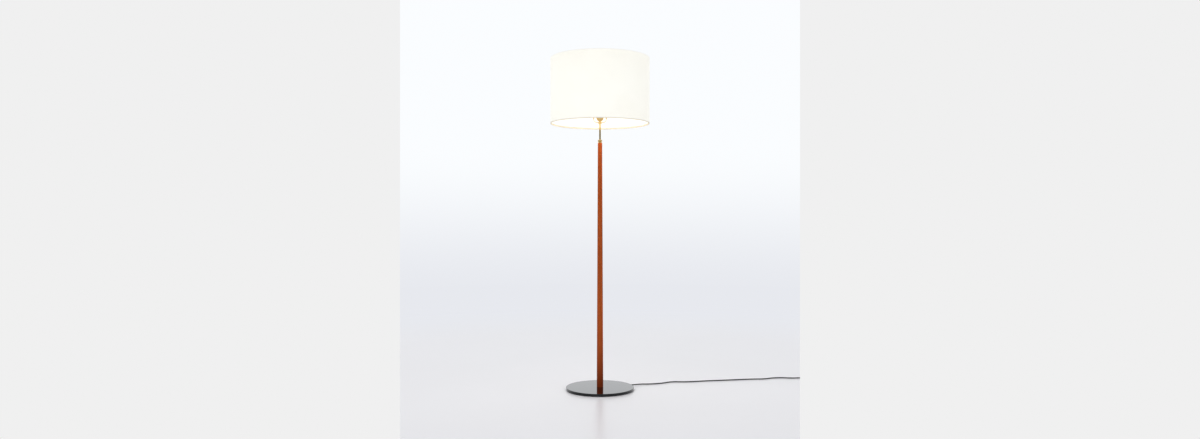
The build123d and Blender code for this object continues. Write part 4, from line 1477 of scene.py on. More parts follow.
@dataclass(frozen=True)
class MainsPlug:
    """Moulded two-pin plug; its own +X points from the cord to the pins."""

    place: Matrix
    length: float = 32.0
    width: float = 24.0
    height: float = 16.6
    edge: float = 3.0
    sleeve_length: float = 12.0
    sleeve_radii: Pair = (3.3, 4.75)
    waist: Pair = (0.66, 0.74)
    waist_length: float = 1.0
    grip_ribs: int = 4
    grip_start: float = 0.42
    grip_pitch: float = 0.13
    grip_rib: Place = (1.6, 13.2, 1.4)
    grip_sunk: float = 0.55
    sleeve_grooves: int = 4
    sleeve_start: float = 1.6
    sleeve_pitch: float = 2.4
    sleeve_tucked_in: float = 4.0
    pin_width: float = 6.35
    pin_thickness: float = 1.5
    pin_length: float = 17.0
    pin_seat: float = 4.0
    pin_spacing: float = 12.7
    pin_hole: float = 1.6
    pin_hole_behind: float = 4.2

    def body(self) -> bpy.types.Object:
        """Grip with rounded edges, finger ribs and a ringed sleeve.

        Returns:
            The piece.
        """
        form = Form().slab((self.length, self.width, self.height))
        form.put(moved(x=self.sleeve_length + self.length / 2))
        waist = [vert for vert in form.mesh.verts if vert.co.x < self.sleeve_length + self.waist_length]
        bmesh.ops.scale(form.mesh, vec=(1, *self.waist), verts=waist)
        form.round_off(form.mesh.edges[:], self.edge)
        rib = Form().slab(self.grip_rib, rounding=0.5)
        for index in range(self.grip_ribs):
            share = self.grip_start + self.grip_pitch * index
            level = self.height / 2 * (self.waist[1] + (1 - self.waist[1]) * share)
            for side in (-1, 1):
                along = self.sleeve_length + self.length * share
                form.take(rib, moved(along, z=side * (level - self.grip_sunk)))
        tip, root = self.sleeve_radii
        outline = [Corner(0, 0), Corner(tip, 0, 0.3)]
        for index in range(self.sleeve_grooves):
            at = self.sleeve_start + index * self.sleeve_pitch
            radius = tip + (root - tip) * at / self.sleeve_length
            outline += groove(at, radius, (radius - 0.5, radius - 0.4), radius + 0.2)
        inside = self.sleeve_length + self.sleeve_tucked_in
        outline += [Corner(root, self.sleeve_length), Corner(root, inside), Corner(0, inside)]
        form.take(turned(outline, steps=40), swung(90, "Y"))
        return form.put(self.place).piece("plug_grip", Slot.RUBBER, Body.BASE, ["plug_body"])

    def pins(self) -> bpy.types.Object:
        """Two flat pins, each with the round hole near its tip.

        Returns:
            The piece.
        """
        start = self.sleeve_length + self.length - self.pin_seat
        end = self.sleeve_length + self.length + self.pin_length
        half = self.pin_width / 2
        blade = Form()
        blade.draw([Corner(start, -half), Corner(end, -half, 1.4), Corner(end, half, 1.4),
                    Corner(start, half)], closed=True)
        hole = bmesh.ops.create_circle(blade.mesh, cap_ends=False, radius=self.pin_hole, segments=24)
        place = moved(x=end - self.pin_hole_behind) @ swung(90, "X")
        bmesh.ops.transform(blade.mesh, verts=hole["verts"], matrix=place)
        bmesh.ops.triangle_fill(blade.mesh, use_beauty=True, use_dissolve=False, edges=blade.mesh.edges[:])
        blade.lift((0, self.pin_thickness, 0))
        form = Form()
        for side in (-1, 1):
            form.take(blade, moved(y=side * self.pin_spacing / 2 - self.pin_thickness / 2))
        return form.put(self.place).piece("plug_pins", Slot.PLUG_BRASS, Body.BASE, ["plug_blades"])

    def build(self) -> list[bpy.types.Object]:
        """Make the plug's two pieces."""
        return [self.body(), self.pins()]


# The lamp


@dataclass(frozen=True)
class RoundBase:
    """Heavy disc with a polished top, felted underneath, and the flex led through it."""

    radius: float = 157.5
    height: float = 12.8
    top_rounding: float = 2.2
    bottom_chamfer: float = 0.8
    bore: float = 7.1
    pocket_radius: float = 24.0
    pocket_top: float = 9.3
    hollow_radius: float = 143.4
    hollow_top: float = 7.3
    steps: int = 155
    felt_radius: float = 152.5
    felt_thickness: float = 1.5
    flex_radius: float = 2.6
    flex_path: tuple[Pair, ...] = ((143.5, 4.4), (-3.2, 4.4), (-3.2, 26), (0, 52), (0, 80))
    flex_bends: tuple[float, ...] = (8.0, 60.0, 60.0)
    exit_azimuth: float = 28.8

    def notch(self, form: Form) -> None:
        """Open the rim's foot over one step of the turning, where the flex comes out.

        Args:
            form: The turned disc, its first step at azimuth zero.
        """
        width = math.tau / self.steps
        doomed = []
        for face in form.mesh.faces:
            middle = face.calc_center_median()
            within = 0 < math.atan2(middle.y, middle.x) < width
            low = middle.z < self.hollow_top - 0.1
            if within and low and math.hypot(middle.x, middle.y) > self.hollow_radius - 0.5:
                doomed.append(face)
        bmesh.ops.delete(form.mesh, geom=doomed, context="FACES")
        edge = {vert for line in form.mesh.edges if line.is_boundary for vert in line.verts}
        roof = [vert for vert in edge if abs(vert.co.z - self.hollow_top) < 0.1]
        roof.sort(key=lambda v: math.atan2(v.co.y, v.co.x) * self.steps + v.co.length / self.radius)
        bmesh.ops.contextual_create(form.mesh, geom=roof)
        bmesh.ops.holes_fill(form.mesh, edges=[line for line in form.mesh.edges if line.is_boundary], sides=0)

    def disc(self) -> bpy.types.Object:
        """Turned disc with its rounded edge, the pocket for the flange and the hollow for the flex.

        Returns:
            The piece.
        """
        under, shoulder = self.felt_thickness, self.height - self.top_rounding
        form = turned(
            [Corner(self.bore, self.pocket_top), Corner(self.pocket_radius, self.pocket_top),
             Corner(self.pocket_radius, self.hollow_top), Corner(self.hollow_radius, self.hollow_top),
             Corner(self.hollow_radius, under), Corner(self.radius - self.bottom_chamfer, under),
             Corner(self.radius, under + self.bottom_chamfer), Corner(self.radius, self.hollow_top),
             Corner(self.radius, shoulder), Arc(self.radius - self.top_rounding, shoulder, 90),
             Corner(self.bore, self.height)],
            closed=True, steps=self.steps,
        )
        self.notch(form)
        form.put(swung(self.exit_azimuth - 180 / self.steps))
        return form.piece("enamel_disc", Slot.BASE, Body.BASE, ["base_disc"])

    def build(self) -> None:
        """Dress the disc and its fittings, and lay the felt and the flex."""
        self.disc()
        for name in ("foot_flange", "flange_screws"):
            keep_node(name, Slot.ZINC)
        top = self.felt_thickness
        felt = turned([Corner(0, 0), Corner(self.felt_radius, 0, 0.3), Corner(self.felt_radius, top, 0.4),
                       Corner(0, top)], steps=144)
        felt.piece("felt_pad", Slot.FELT, Body.BASE, ["base_felt"])
        flex = Bar(self.flex_path, self.flex_bends, round_section(self.flex_radius))
        flex.put(swung(self.exit_azimuth))
        flex.piece("flex_in_base", Slot.RUBBER, Body.BASE, ["foot_flex"])


@dataclass(frozen=True)
class TeakColumn:
    """Tapered teak column on a steel core, with the flex inside and the guide bush on its head."""

    bore: float = 7.1
    foot_radius: float = 15.1
    head_radius: float = 10.15
    foot: float = 12.8
    head: float = 1138.0
    flex_radius: float = 2.6
    flex_bottom: float = 80.0
    flex_top: float = 803.3
    flex_rings: int = 24
    bush_bore: float = 4.05
    bush_bottom: float = 1108.0
    bush_tail: float = 5.9
    bush_radius: float = 8.4
    bush_top: float = 1144.0
    collet_radius: float = 6.0
    collet_tip: float = 4.9
    collet_top: float = 1150.2

    def column(self) -> None:
        """Turned teak, its two ends eased."""
        form = turned(
            [Corner(self.bore, self.foot), Corner(self.foot_radius, self.foot, 0.5),
             Corner(self.head_radius, self.head, 0.9), Corner(self.bore, self.head)],
            closed=True,
        )
        form.piece("teak_column", Slot.TEAK, Body.BASE, ["column"])

    def flex(self) -> None:
        """Flex inside the column, which draws out as the stem rises."""
        low, high = self.flex_bottom, self.flex_top
        step = (high - low) / self.flex_rings
        side = [Corner(self.flex_radius, low + index * step) for index in range(self.flex_rings + 1)]
        outline = [Corner(0, low), *side, Corner(0, high)]
        made = turned(outline, steps=20).piece("flex_in_column", Slot.RUBBER, Body.BASE, ["column_flex"])
        made.parent = None
        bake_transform(made)

    def bush(self) -> None:
        """Brass guide bush: a flanged collar with a bead, and a slotted collet above it."""
        collar, head, radius = self.bush_top, self.head, self.bush_radius
        form = turned(
            [Corner(self.bush_bore, self.bush_bottom), Corner(self.bush_tail, self.bush_bottom),
             Corner(self.bush_tail, head), Corner(radius, head, 0.35), Corner(radius, head + 1.5, 0.2),
             Corner(radius - 0.5, head + 1.9, 0.15), Corner(radius - 0.5, head + 2.5, 0.15),
             Corner(radius, head + 2.9, 0.2), Corner(radius, collar, 0.6),
             Corner(self.collet_radius, collar), Corner(self.collet_radius, self.collet_top - 1.1),
             Corner(self.collet_tip, self.collet_top), Corner(self.bush_bore, self.collet_top)],
            closed=True,
        )
        form.piece("guide_collar", Slot.BRASS, Body.BASE, ["guide_bush"])

    def build(self) -> None:
        """Make the column and all that it holds."""
        self.column()
        self.flex()
        self.bush()
        keep_node("core_tube", Slot.ZINC)


@dataclass(frozen=True)
class StemAndClamp:
    """Sliding brass stem, the fluted nut that grips it, and the hexagon nut under the saddle."""

    radius: float = 4.0
    bore: float = 3.2
    bottom: float = 803.3
    top: float = 1241.0
    ring_groove: Place = (806.3, 807.8, 3.6)
    nut_bore: float = 6.05
    nut_mouth: float = 4.3
    nut_radius: float = 9.5
    nut_top_radius: float = 6.5
    nut_bottom: float = 1144.3
    nut_top: float = 1152.7
    nut_ceiling: float = 1151.5
    flutes: int = 36
    flute_depth: float = 0.5
    hex_across: float = 16.0
    hex_bottom: float = 1226.7
    hex_height: float = 4.5
    hex_edge: float = 0.55
    flex_radius: float = 2.6

    def stem(self) -> None:
        """Drawn brass tube with the groove for its snap ring, and the flex in it."""
        low, high, floor = self.ring_groove
        form = turned(
            [Corner(self.bore, self.bottom), Corner(self.radius, self.bottom, 0.3), Corner(self.radius, low),
             Corner(floor, low), Corner(floor, high), Corner(self.radius, high),
             Corner(self.radius, self.top, 0.3), Corner(self.bore, self.top)],
            closed=True, steps=64,
        )
        form.piece("brass_stem", Slot.STEM, Body.STEM, ["stem_tube"])
        flex = sleeve(0.0, self.flex_radius, self.bottom, self.top)
        flex.piece("flex_in_stem", Slot.RUBBER, Body.STEM, ["stem_flex"])

    def clamp_nut(self) -> None:
        """Domed nut with a fluted grip between two plain bands."""
        low, high, radius = self.nut_bottom, self.nut_top, self.nut_radius
        dome = high - (radius - self.nut_top_radius) / 2
        grip_top = dome - 0.5
        form = turned(
            [Corner(self.nut_bore, low), Corner(radius, low, 0.4), Corner(radius, low + 0.9),
             Corner(radius, low + 1.1), Corner(radius, grip_top - 0.2), Corner(radius, grip_top),
             Corner(radius, dome, 0.45), Corner(self.nut_top_radius, high, 0.8),
             Corner(self.nut_mouth, high, 0.3), Corner(self.nut_mouth, self.nut_ceiling),
             Corner(self.nut_bore, self.nut_ceiling)],
            closed=True, steps=self.flutes * 8,
        )
        form.flute(self.flutes, self.flute_depth, inner=radius - 0.05, low=low + 1.0, high=grip_top - 0.1)
        form.piece("clamp_knurl", Slot.BRASS, Body.NUT, ["clamp_nut"], crease=50.0)

    def hex_nut(self) -> None:
        """Hexagon nut that holds the saddle, its corners turned off."""
        form = Form()
        corner = self.hex_across / math.sqrt(3)
        bmesh.ops.create_circle(form.mesh, cap_ends=True, radius=corner, segments=6)
        form.lift((0, 0, self.hex_height))
        form.round_off(form.mesh.edges[:], self.hex_edge)
        form.put(moved(z=self.hex_bottom))
        form.piece("saddle_nut", Slot.HARP, Body.STEM, ["lock_nut"])

    def build(self) -> None:
        """Make the stem and its fittings."""
        self.stem()
        self.clamp_nut()
        self.hex_nut()
        keep_node("stop_ring", Slot.SPRING)


@dataclass(frozen=True)
class HarpAndSaddle:
    """Bent strip saddle, wire harp with its sliding sleeves, and the stud that carries the shade."""

    foot: float = 29.0
    strip_thickness: float = 1.8
    strip_width: float = 11.0
    strip_height: float = 1232.1
    arm_top: float = 1250.2
    strip_bend: float = 16.0
    post_radius: float = 1.75
    post_bottom: float = 1246.7
    post_top: float = 1260.2
    wire_radius: float = 1.7
    wire: tuple[Pair, ...] = ((29, 1262.2), (29, 1282.2), (60, 1335.2), (60, 1420.2), (30, 1499.1))
    wire_bends: tuple[float, ...] = (40.0, 60.0, 80.0, 30.0)
    sleeve_radius: float = 3.1
    sleeve_bore: float = 1.8
    sleeve_bottom: float = 1251.2
    sleeve_length: float = 20.0
    seat_height: float = 1503.2
    stud_top: float = 1516.7

    def saddle(self) -> None:
        """U of flat strip, its arms drawn to round posts."""
        high, low = self.arm_top, self.strip_height
        corners = [(-self.foot, high), (-self.foot, low), (self.foot, low), (self.foot, high)]
        section = flat_section(self.strip_thickness, self.strip_width, rounding=0.5)
        form = Bar(corners, [self.strip_bend] * 2, section)
        post = turned([Corner(0, self.post_bottom), Corner(self.post_radius, self.post_bottom),
                       Corner(self.post_radius, self.post_top, 0.5), Corner(0, self.post_top)], steps=32)
        collar = turned([Corner(0, high - 2.2), Corner(2.9, high - 2.2, 0.6), Corner(2.9, high + 0.9, 0.6),
                         Corner(0, high + 0.9)], steps=32)
        for side in (-1, 1):
            at = moved(side * self.foot)
            form.take(post, at)
            form.take(collar, at)
        form.piece("saddle_strip", Slot.HARP, Body.STEM, ["harp_saddle"])

    def harp(self) -> None:
        """One wire, bent out, up and over, and the two sleeves on its feet."""
        path = list(self.wire) + [(-across, up) for across, up in reversed(self.wire)]
        bends = list(self.wire_bends) + list(reversed(self.wire_bends))
        wire = Bar(path, bends, round_section(self.wire_radius))
        wire.piece("harp_wire", Slot.HARP, Body.STEM, ["harp"])
        pair = Form()
        radius, low = self.sleeve_radius, self.sleeve_bottom
        top = low + self.sleeve_length
        one = turned(
            [Corner(self.sleeve_bore, low), Corner(radius, low, 0.5), Corner(radius, low + 2.4, 0.3),
             Corner(radius - 0.5, low + 3.0, 0.3), Corner(radius - 0.5, top - 3.0, 0.3),
             Corner(radius, top - 2.4, 0.3), Corner(radius, top, 0.5), Corner(self.sleeve_bore, top)],
            closed=True, steps=48,
        )
        for side in (-1, 1):
            pair.take(one, moved(side * self.foot))
        pair.piece("harp_sleeves", Slot.HARP, Body.STEM, ["harp_ferrules"])

    def stud(self) -> None:
        """Swivel stud: boss under the wire, seat for the shade, and a threaded end."""
        seat = self.seat_height
        outline = [Corner(0, seat - 6.6), Corner(5.5, seat - 6.6, 0.6), Corner(5.5, seat - 2.4),
                   Corner(7.0, seat - 2.4, 0.4), Corner(7.0, seat, 0.4), Corner(2.9, seat)]
        outline += rings(radius=3.1, depth=0.32, bottom=seat + 0.9, pitch=0.94, count=12)
        outline += [Corner(2.8, self.stud_top - 0.9, 0.2), Corner(2.4, self.stud_top, 0.2),
                    Corner(0, self.stud_top)]
        turned(outline, steps=64).piece("shade_stud", Slot.HARP, Body.STEM, ["harp_stud"])

    def build(self) -> None:
        """Make the saddle, the harp and the stud."""
        self.saddle()
        self.harp()
        self.stud()


@dataclass(frozen=True)
class LampSocket:
    """Brass-cased socket with its insulation, contacts, leads, turn knob and bulb."""

    cap_bottom: float = 1233.0
    cap_neck: float = 6.0
    cap_neck_top: float = 1239.0
    cap_radius: float = 17.0
    cap_wall: float = 0.8
    cap_rim: float = 1256.2
    cap_top: float = 1262.2
    stem_radius: float = 4.0
    shell_radius: float = 16.1
    shell_wall: float = 0.6
    shell_bottom: float = 1257.2
    shell_top: float = 1300.2
    shell_bead: float = 0.7
    shell_rings: Pair = (1272.0, 1288.0)
    liner_radius: float = 15.4
    liner_wall: float = 0.8
    liner_top: float = 1297.2
    screw_radius: float = 14.0
    screw_bottom: float = 1275.2
    screw_top: float = 1295.2
    switch_height: float = 1267.2
    knob_start: float = 20.0
    knob_radius: float = 5.0
    knob_length: float = 17.0
    knob_grip: float = 3.8
    knob_bore: float = 1.5
    knob_bore_depth: float = 9.0
    knob_ribs: int = 12

    def cap(self) -> None:
        """Spun cup with a rolled bead at its rim."""
        neck, outer, rim, top = self.cap_neck, self.cap_radius, self.cap_rim, self.cap_top
        inner = outer - self.cap_wall
        low_outside = (neck, self.cap_neck_top - self.cap_wall)
        low_inside = (neck - self.cap_wall, self.cap_neck_top)
        form = turned(
            [Corner(self.stem_radius, self.cap_bottom), Corner(neck, self.cap_bottom, 0.5),
             Corner(*low_outside), upright_arc(low_outside, (outer, rim), True),
             Corner(outer, top - 2.0, 0.2), Corner(outer - 0.35, top - 1.6, 0.2),
             Corner(outer - 0.35, top - 1.2, 0.2), Corner(outer, top - 0.8, 0.2), Corner(outer, top, 0.35),
             Corner(inner, top, 0.3), Corner(inner, rim), upright_arc(low_inside, (inner, rim), False),
             Corner(self.stem_radius, self.cap_neck_top)],
            closed=True,
        )
        form.piece("socket_cup", Slot.BRASS, Body.STEM, ["socket_cap"])

    def shell(self) -> None:
        """Drawn barrel with two pressed rings and a rolled top, and the card inside it."""
        inner, outer = self.shell_radius - self.shell_wall, self.shell_radius
        bead, top = outer + self.shell_bead, self.shell_top
        outline = [Corner(inner, self.shell_bottom), Corner(outer, self.shell_bottom, 0.25)]
        for height in self.shell_rings:
            outline += [Corner(outer, height - 1.2, 0.4), Corner(outer + 0.45, height, 0.5),
                        Corner(outer, height + 1.2, 0.4)]
        outline += [Corner(outer, top - 2.0, 0.4), Corner(bead, top - 1.3, 0.4), Corner(bead, top, 0.5),
                    Corner(inner, top, 0.3)]
        turned(outline, closed=True).piece("socket_barrel", Slot.BRASS, Body.STEM, ["socket_shell"])
        bore = self.liner_radius - self.liner_wall
        card = sleeve(bore, self.liner_radius, self.shell_bottom, self.liner_top, 0.2)
        card.piece("socket_card", Slot.CARD, Body.STEM, ["socket_liner"])

    def contacts(self) -> None:
        """Screw shell with its rolled thread, and the two leads."""
        radius, low, high = self.screw_radius, self.screw_bottom, self.screw_top
        outline = [Corner(radius - 0.5, low), Corner(radius, low)]
        outline += rings(radius, depth=0.4, bottom=low + 2.2, pitch=3.5, count=5)
        outline += [Corner(radius, high), Corner(radius - 0.5, high)]
        form = turned(outline, closed=True, steps=72)
        form.piece("socket_thread", Slot.BRASS, Body.STEM, ["screw_shell"])
        pair = Form()
        for side in (-1, 1):
            path = [(side * 1.3, 1241.0), (side * 1.3, 1246.0), (side * 2.6, 1252.2), (side * 2.6, 1258.2)]
            pair.take(Bar(path, [8.0, 8.0], round_section(radius=0.9, sides=16)))
        pair.piece("lead_pair", Slot.LEAD, Body.STEM, ["wire_leads"])
        for name, slot in (("switch_housing", Slot.PHENOLIC), ("terminal_screws", Slot.BRASS),
                           ("centre_contact", Slot.BRASS)):
            keep_node(name, slot)

    def knob(self) -> None:
        """Turn knob: a ribbed collar, a slim grip and the flat key across its end."""
        grip, end, key_length = self.knob_grip, self.knob_length, 12.0
        form = turned(
            [Corner(self.knob_bore, 0), Corner(self.knob_radius, 0, 0.7), Corner(self.knob_radius, 6.0, 0.8),
             Corner(grip, 7.6, 0.4), Corner(grip, end, 1.6), Corner(0, end),
             Corner(0, self.knob_bore_depth), Corner(self.knob_bore, self.knob_bore_depth)],
            closed=True, steps=self.knob_ribs * 6,
        )
        form.flute(self.knob_ribs, depth=0.35, inner=self.knob_radius - 0.8, low=0.2, high=6.2)
        key = Form().slab((2 * self.knob_radius, 2.5, key_length), rounding=0.9)
        form.take(key, moved(z=end - key_length / 2))
        form.put(moved(y=-self.knob_start, z=self.switch_height) @ swung(90, "X"))
        form.piece("turn_knob", Slot.KNOB, Body.SWITCH, ["switch_knob"])
        keep_node("switch_spindle", Slot.BRASS)

    def build(self) -> None:
        """Make the socket from its cap to its knob."""
        self.cap()
        self.shell()
        self.contacts()
        self.knob()


@dataclass(frozen=True)
class FrostedBulb:
    """Lit screw-cap bulb with a frosted envelope."""

    bottom: float = 1276.8
    contact_height: float = 1.4
    top: float = 1388.8
    sphere: float = 30.0
    neck: float = 12.6
    shoulder: float = 20.0
    shoulder_turn: float = 35.0
    neck_insertion: float = 12.0
    cap_radius: float = 13.2
    cap_height: float = 24.0

    def envelope(self) -> None:
        """Glass envelope: neck, hollow shoulder and sphere."""
        turn = math.radians(self.shoulder_turn)
        centre = self.top - self.sphere
        touch = (self.sphere * math.cos(turn), centre - self.sphere * math.sin(turn))
        flare_end = self.neck + self.shoulder * (1 - math.cos(turn))
        flare_top = touch[1] - (touch[0] - flare_end) / math.tan(turn)
        flare_bottom = flare_top - self.shoulder * math.sin(turn)
        floor = self.bottom + self.contact_height + self.cap_height - self.neck_insertion
        form = turned(
            [Corner(0, floor), Corner(self.neck, floor, 0.4), Corner(self.neck, flare_bottom),
             Arc(self.neck + self.shoulder, flare_bottom, -self.shoulder_turn, 8), Corner(*touch),
             Arc(0, centre, 90 + self.shoulder_turn, 24)],
        )
        form.piece("bulb_envelope", Slot.OPAL, Body.STEM, ["bulb_glass"])

    def screw_cap(self) -> None:
        """Aluminium cap with a rolled thread."""
        base, radius = self.bottom + self.contact_height, self.cap_radius
        top = base + self.cap_height
        outline = [Corner(0, base), Corner(6.0, base), Corner(radius - 1.2, base + 3.0, 0.8)]
        outline += rings(radius, depth=0.7, bottom=base + 5.0, pitch=3.4, count=4)
        outline += [Corner(radius, base + 19.5, 0.5), Corner(radius, top, 0.3), Corner(radius - 0.5, top),
                    Corner(radius - 1.0, base + 4.0), Corner(0, base + 2.0)]
        turned(outline, steps=72).piece("bulb_screw_cap", Slot.ALUMINIUM, Body.STEM, ["bulb_cap"])

    def build(self) -> None:
        """Make the bulb and dress what is inside it."""
        self.envelope()
        self.screw_cap()
        keep_node("bulb_contact", Slot.ALUMINIUM)
        keep_node("bulb_mount", Slot.GLASS)
        keep_node("bulb_filament", Slot.SPRING)


@dataclass(frozen=True)
class DrumShade:
    """Drum of linen on a styrene lining, hemmed over two wire rings and carried by a spider."""

    outer: float = 228.5
    cloth: float = 228.0
    cloth_thickness: float = 0.8
    lining_thickness: float = 0.4
    bottom: float = 1225.7
    top: float = 1526.0
    tape: float = 0.5
    hem_height: float = 9.0
    hem_inner: float = 223.3
    washer_height: float = 1503.5
    washer_thickness: float = 1.6
    washer_radius: float = 12.0
    washer_bore: float = 3.5
    spoke_radius: float = 1.5
    spoke_path: tuple[Pair, ...] = ((11.0, 1504.3), (201.8, 1504.3), (225.3, 1524.0))
    spoke_azimuths: tuple[float, ...] = (90.0, 210.0, 330.0)
    lap_width: float = 14.0
    lap_thickness: float = 0.7
    steps: int = 192

    def wall(self, outer: float, thickness: float) -> Form:
        """One layer of the drum's wall, between the folds of its hems.

        Args:
            outer: Outer radius.
            thickness: Thickness of the layer.

        Returns:
            The layer.
        """
        low, high = self.bottom + self.tape, self.top - self.tape
        inner = outer - thickness
        outline = [Corner(inner, low), Corner(outer, low), Corner(outer, high), Corner(inner, high)]
        return turned(outline, closed=True, steps=self.steps).unroll(self.cloth)

    def hem(self, edge: float, inward: int) -> Form:
        """Tape folded over an edge of the wall and its wire; inward is 1 at the bottom edge.

        Args:
            edge: Height of the edge.
            inward: 1 at the bottom edge, -1 at the top.

        Returns:
            The folded tape.
        """
        deep, floor = edge + inward * self.hem_height, edge + inward * self.tape
        outer, inner, lined = self.outer, self.hem_inner, self.hem_inner + self.tape
        outline = [Corner(outer, deep, 0.15), Corner(outer, edge, 1.3), Corner(inner, edge, 1.3),
                   Corner(inner, deep, 0.15), Corner(lined, deep), Corner(lined, floor),
                   Corner(self.cloth, floor), Corner(self.cloth, deep)]
        return turned(outline, closed=True, steps=self.steps).unroll(self.cloth)

    def lap(self) -> bpy.types.Object:
        """Lap where the cloth's two ends are glued one over the other, at the back.

        Returns:
            The piece.
        """
        height = self.top - self.bottom - 2 * self.hem_height
        form = Form().slab((self.lap_width, self.lap_thickness, height), rounding=0.2)
        form.put(moved(y=self.cloth, z=(self.top + self.bottom) / 2))
        return form.unroll(self.cloth).piece("cloth_lap", Slot.LINEN, Body.SHADE)

    def spider(self) -> None:
        """Three spokes on a washer."""
        form = sleeve(self.washer_bore, self.washer_radius, self.washer_height,
                      self.washer_height + self.washer_thickness, 0.4)
        spoke = Bar(self.spoke_path, [8.0], round_section(self.spoke_radius, sides=16))
        for azimuth in self.spoke_azimuths:
            form.take(spoke, swung(azimuth))
        form.piece("spider_frame", Slot.RING, Body.SHADE, ["spider"])

    def build(self) -> None:
        """Make the shade."""
        wall = self.wall(self.cloth, self.cloth_thickness)
        cloth = wall.piece("drum_cloth", Slot.LINEN, Body.SHADE, ["shade_fabric"])
        lining = self.wall(self.cloth - self.cloth_thickness, self.lining_thickness)
        lining.piece("drum_lining", Slot.STYRENE, Body.SHADE, ["shade_liner"])
        hems = [self.hem(self.bottom, 1).piece("hem_bottom", Slot.LINEN, Body.SHADE, ["bottom_hem"]),
                self.hem(self.top, -1).piece("hem_top", Slot.LINEN, Body.SHADE, ["top_hem"])]
        self.lap()
        for name in ("top_ring", "bottom_ring"):
            keep_node(name, Slot.RING)
        self.spider()


@dataclass(frozen=True)
class BallFinial:
    """Turned brass finial that holds the shade down."""

    bottom: float = 1505.4
    foot_radius: float = 7.0
    foot_height: float = 2.4
    waist_radius: float = 3.5
    waist_height: float = 2.6
    ball_radius: float = 6.5
    bore: float = 3.15
    bore_top: float = 1517.7

    def build(self) -> None:
        """Turn the finial with its threaded bore."""
        foot_top = self.bottom + self.foot_height
        waist_top = foot_top + self.waist_height
        rise = math.sqrt(self.ball_radius**2 - self.waist_radius**2)
        lean = math.degrees(math.atan2(rise, self.waist_radius))
        form = turned(
            [Corner(0, self.bore_top), Corner(self.bore, self.bore_top), Corner(self.bore, self.bottom),
             Corner(self.foot_radius, self.bottom, 0.4), Corner(self.foot_radius, foot_top, 0.7),
             Corner(self.waist_radius, foot_top, 0.5), Corner(self.waist_radius, waist_top),
             Arc(0, waist_top + rise, 90 + lean, 20)],
            steps=64,
        )
        form.piece("ball_finial", Slot.BRASS, Body.FINIAL, ["finial"])


# The studio


@dataclass(frozen=True)
class SoftSun:
    """Broad soft light of even strength, from far off towards the lamp."""

    name: str
    comes_from: Place
    strength: float
    spread: float
    colour: Colour = (1.0, 1.0, 1.0)
    mirrored: bool = True

    def build(self) -> None:
        """Hang the light; one that isn't mirrored shows in no polished surface."""
        data = bpy.data.lights.new(self.name, "SUN")
        data.energy, data.angle, data.color = self.strength, math.radians(self.spread), self.colour
        made = new_object(self.name, data)
        made.rotation_euler = (-Vector(self.comes_from)).to_track_quat("-Z", "Y").to_euler()
        made.visible_glossy = self.mirrored


@dataclass(frozen=True)
class ShadeGlow:
    """Light that the lit shade sheds downwards, from a disc in its opening that no polish mirrors."""

    height: float = 1240.0
    size: float = 400.0
    power: float = 1.35
    colour: Colour = (1.0, 0.88, 0.68)

    def build(self) -> None:
        """Hang the disc, facing down."""
        data = bpy.data.lights.new("shade_glow", "AREA")
        data.shape, data.size, data.energy, data.color = "DISK", self.size * MM, self.power, self.colour
        made = new_object("shade_glow", data)
        made.location = (0, 0, self.height * MM)
        made.visible_camera = made.visible_glossy = False


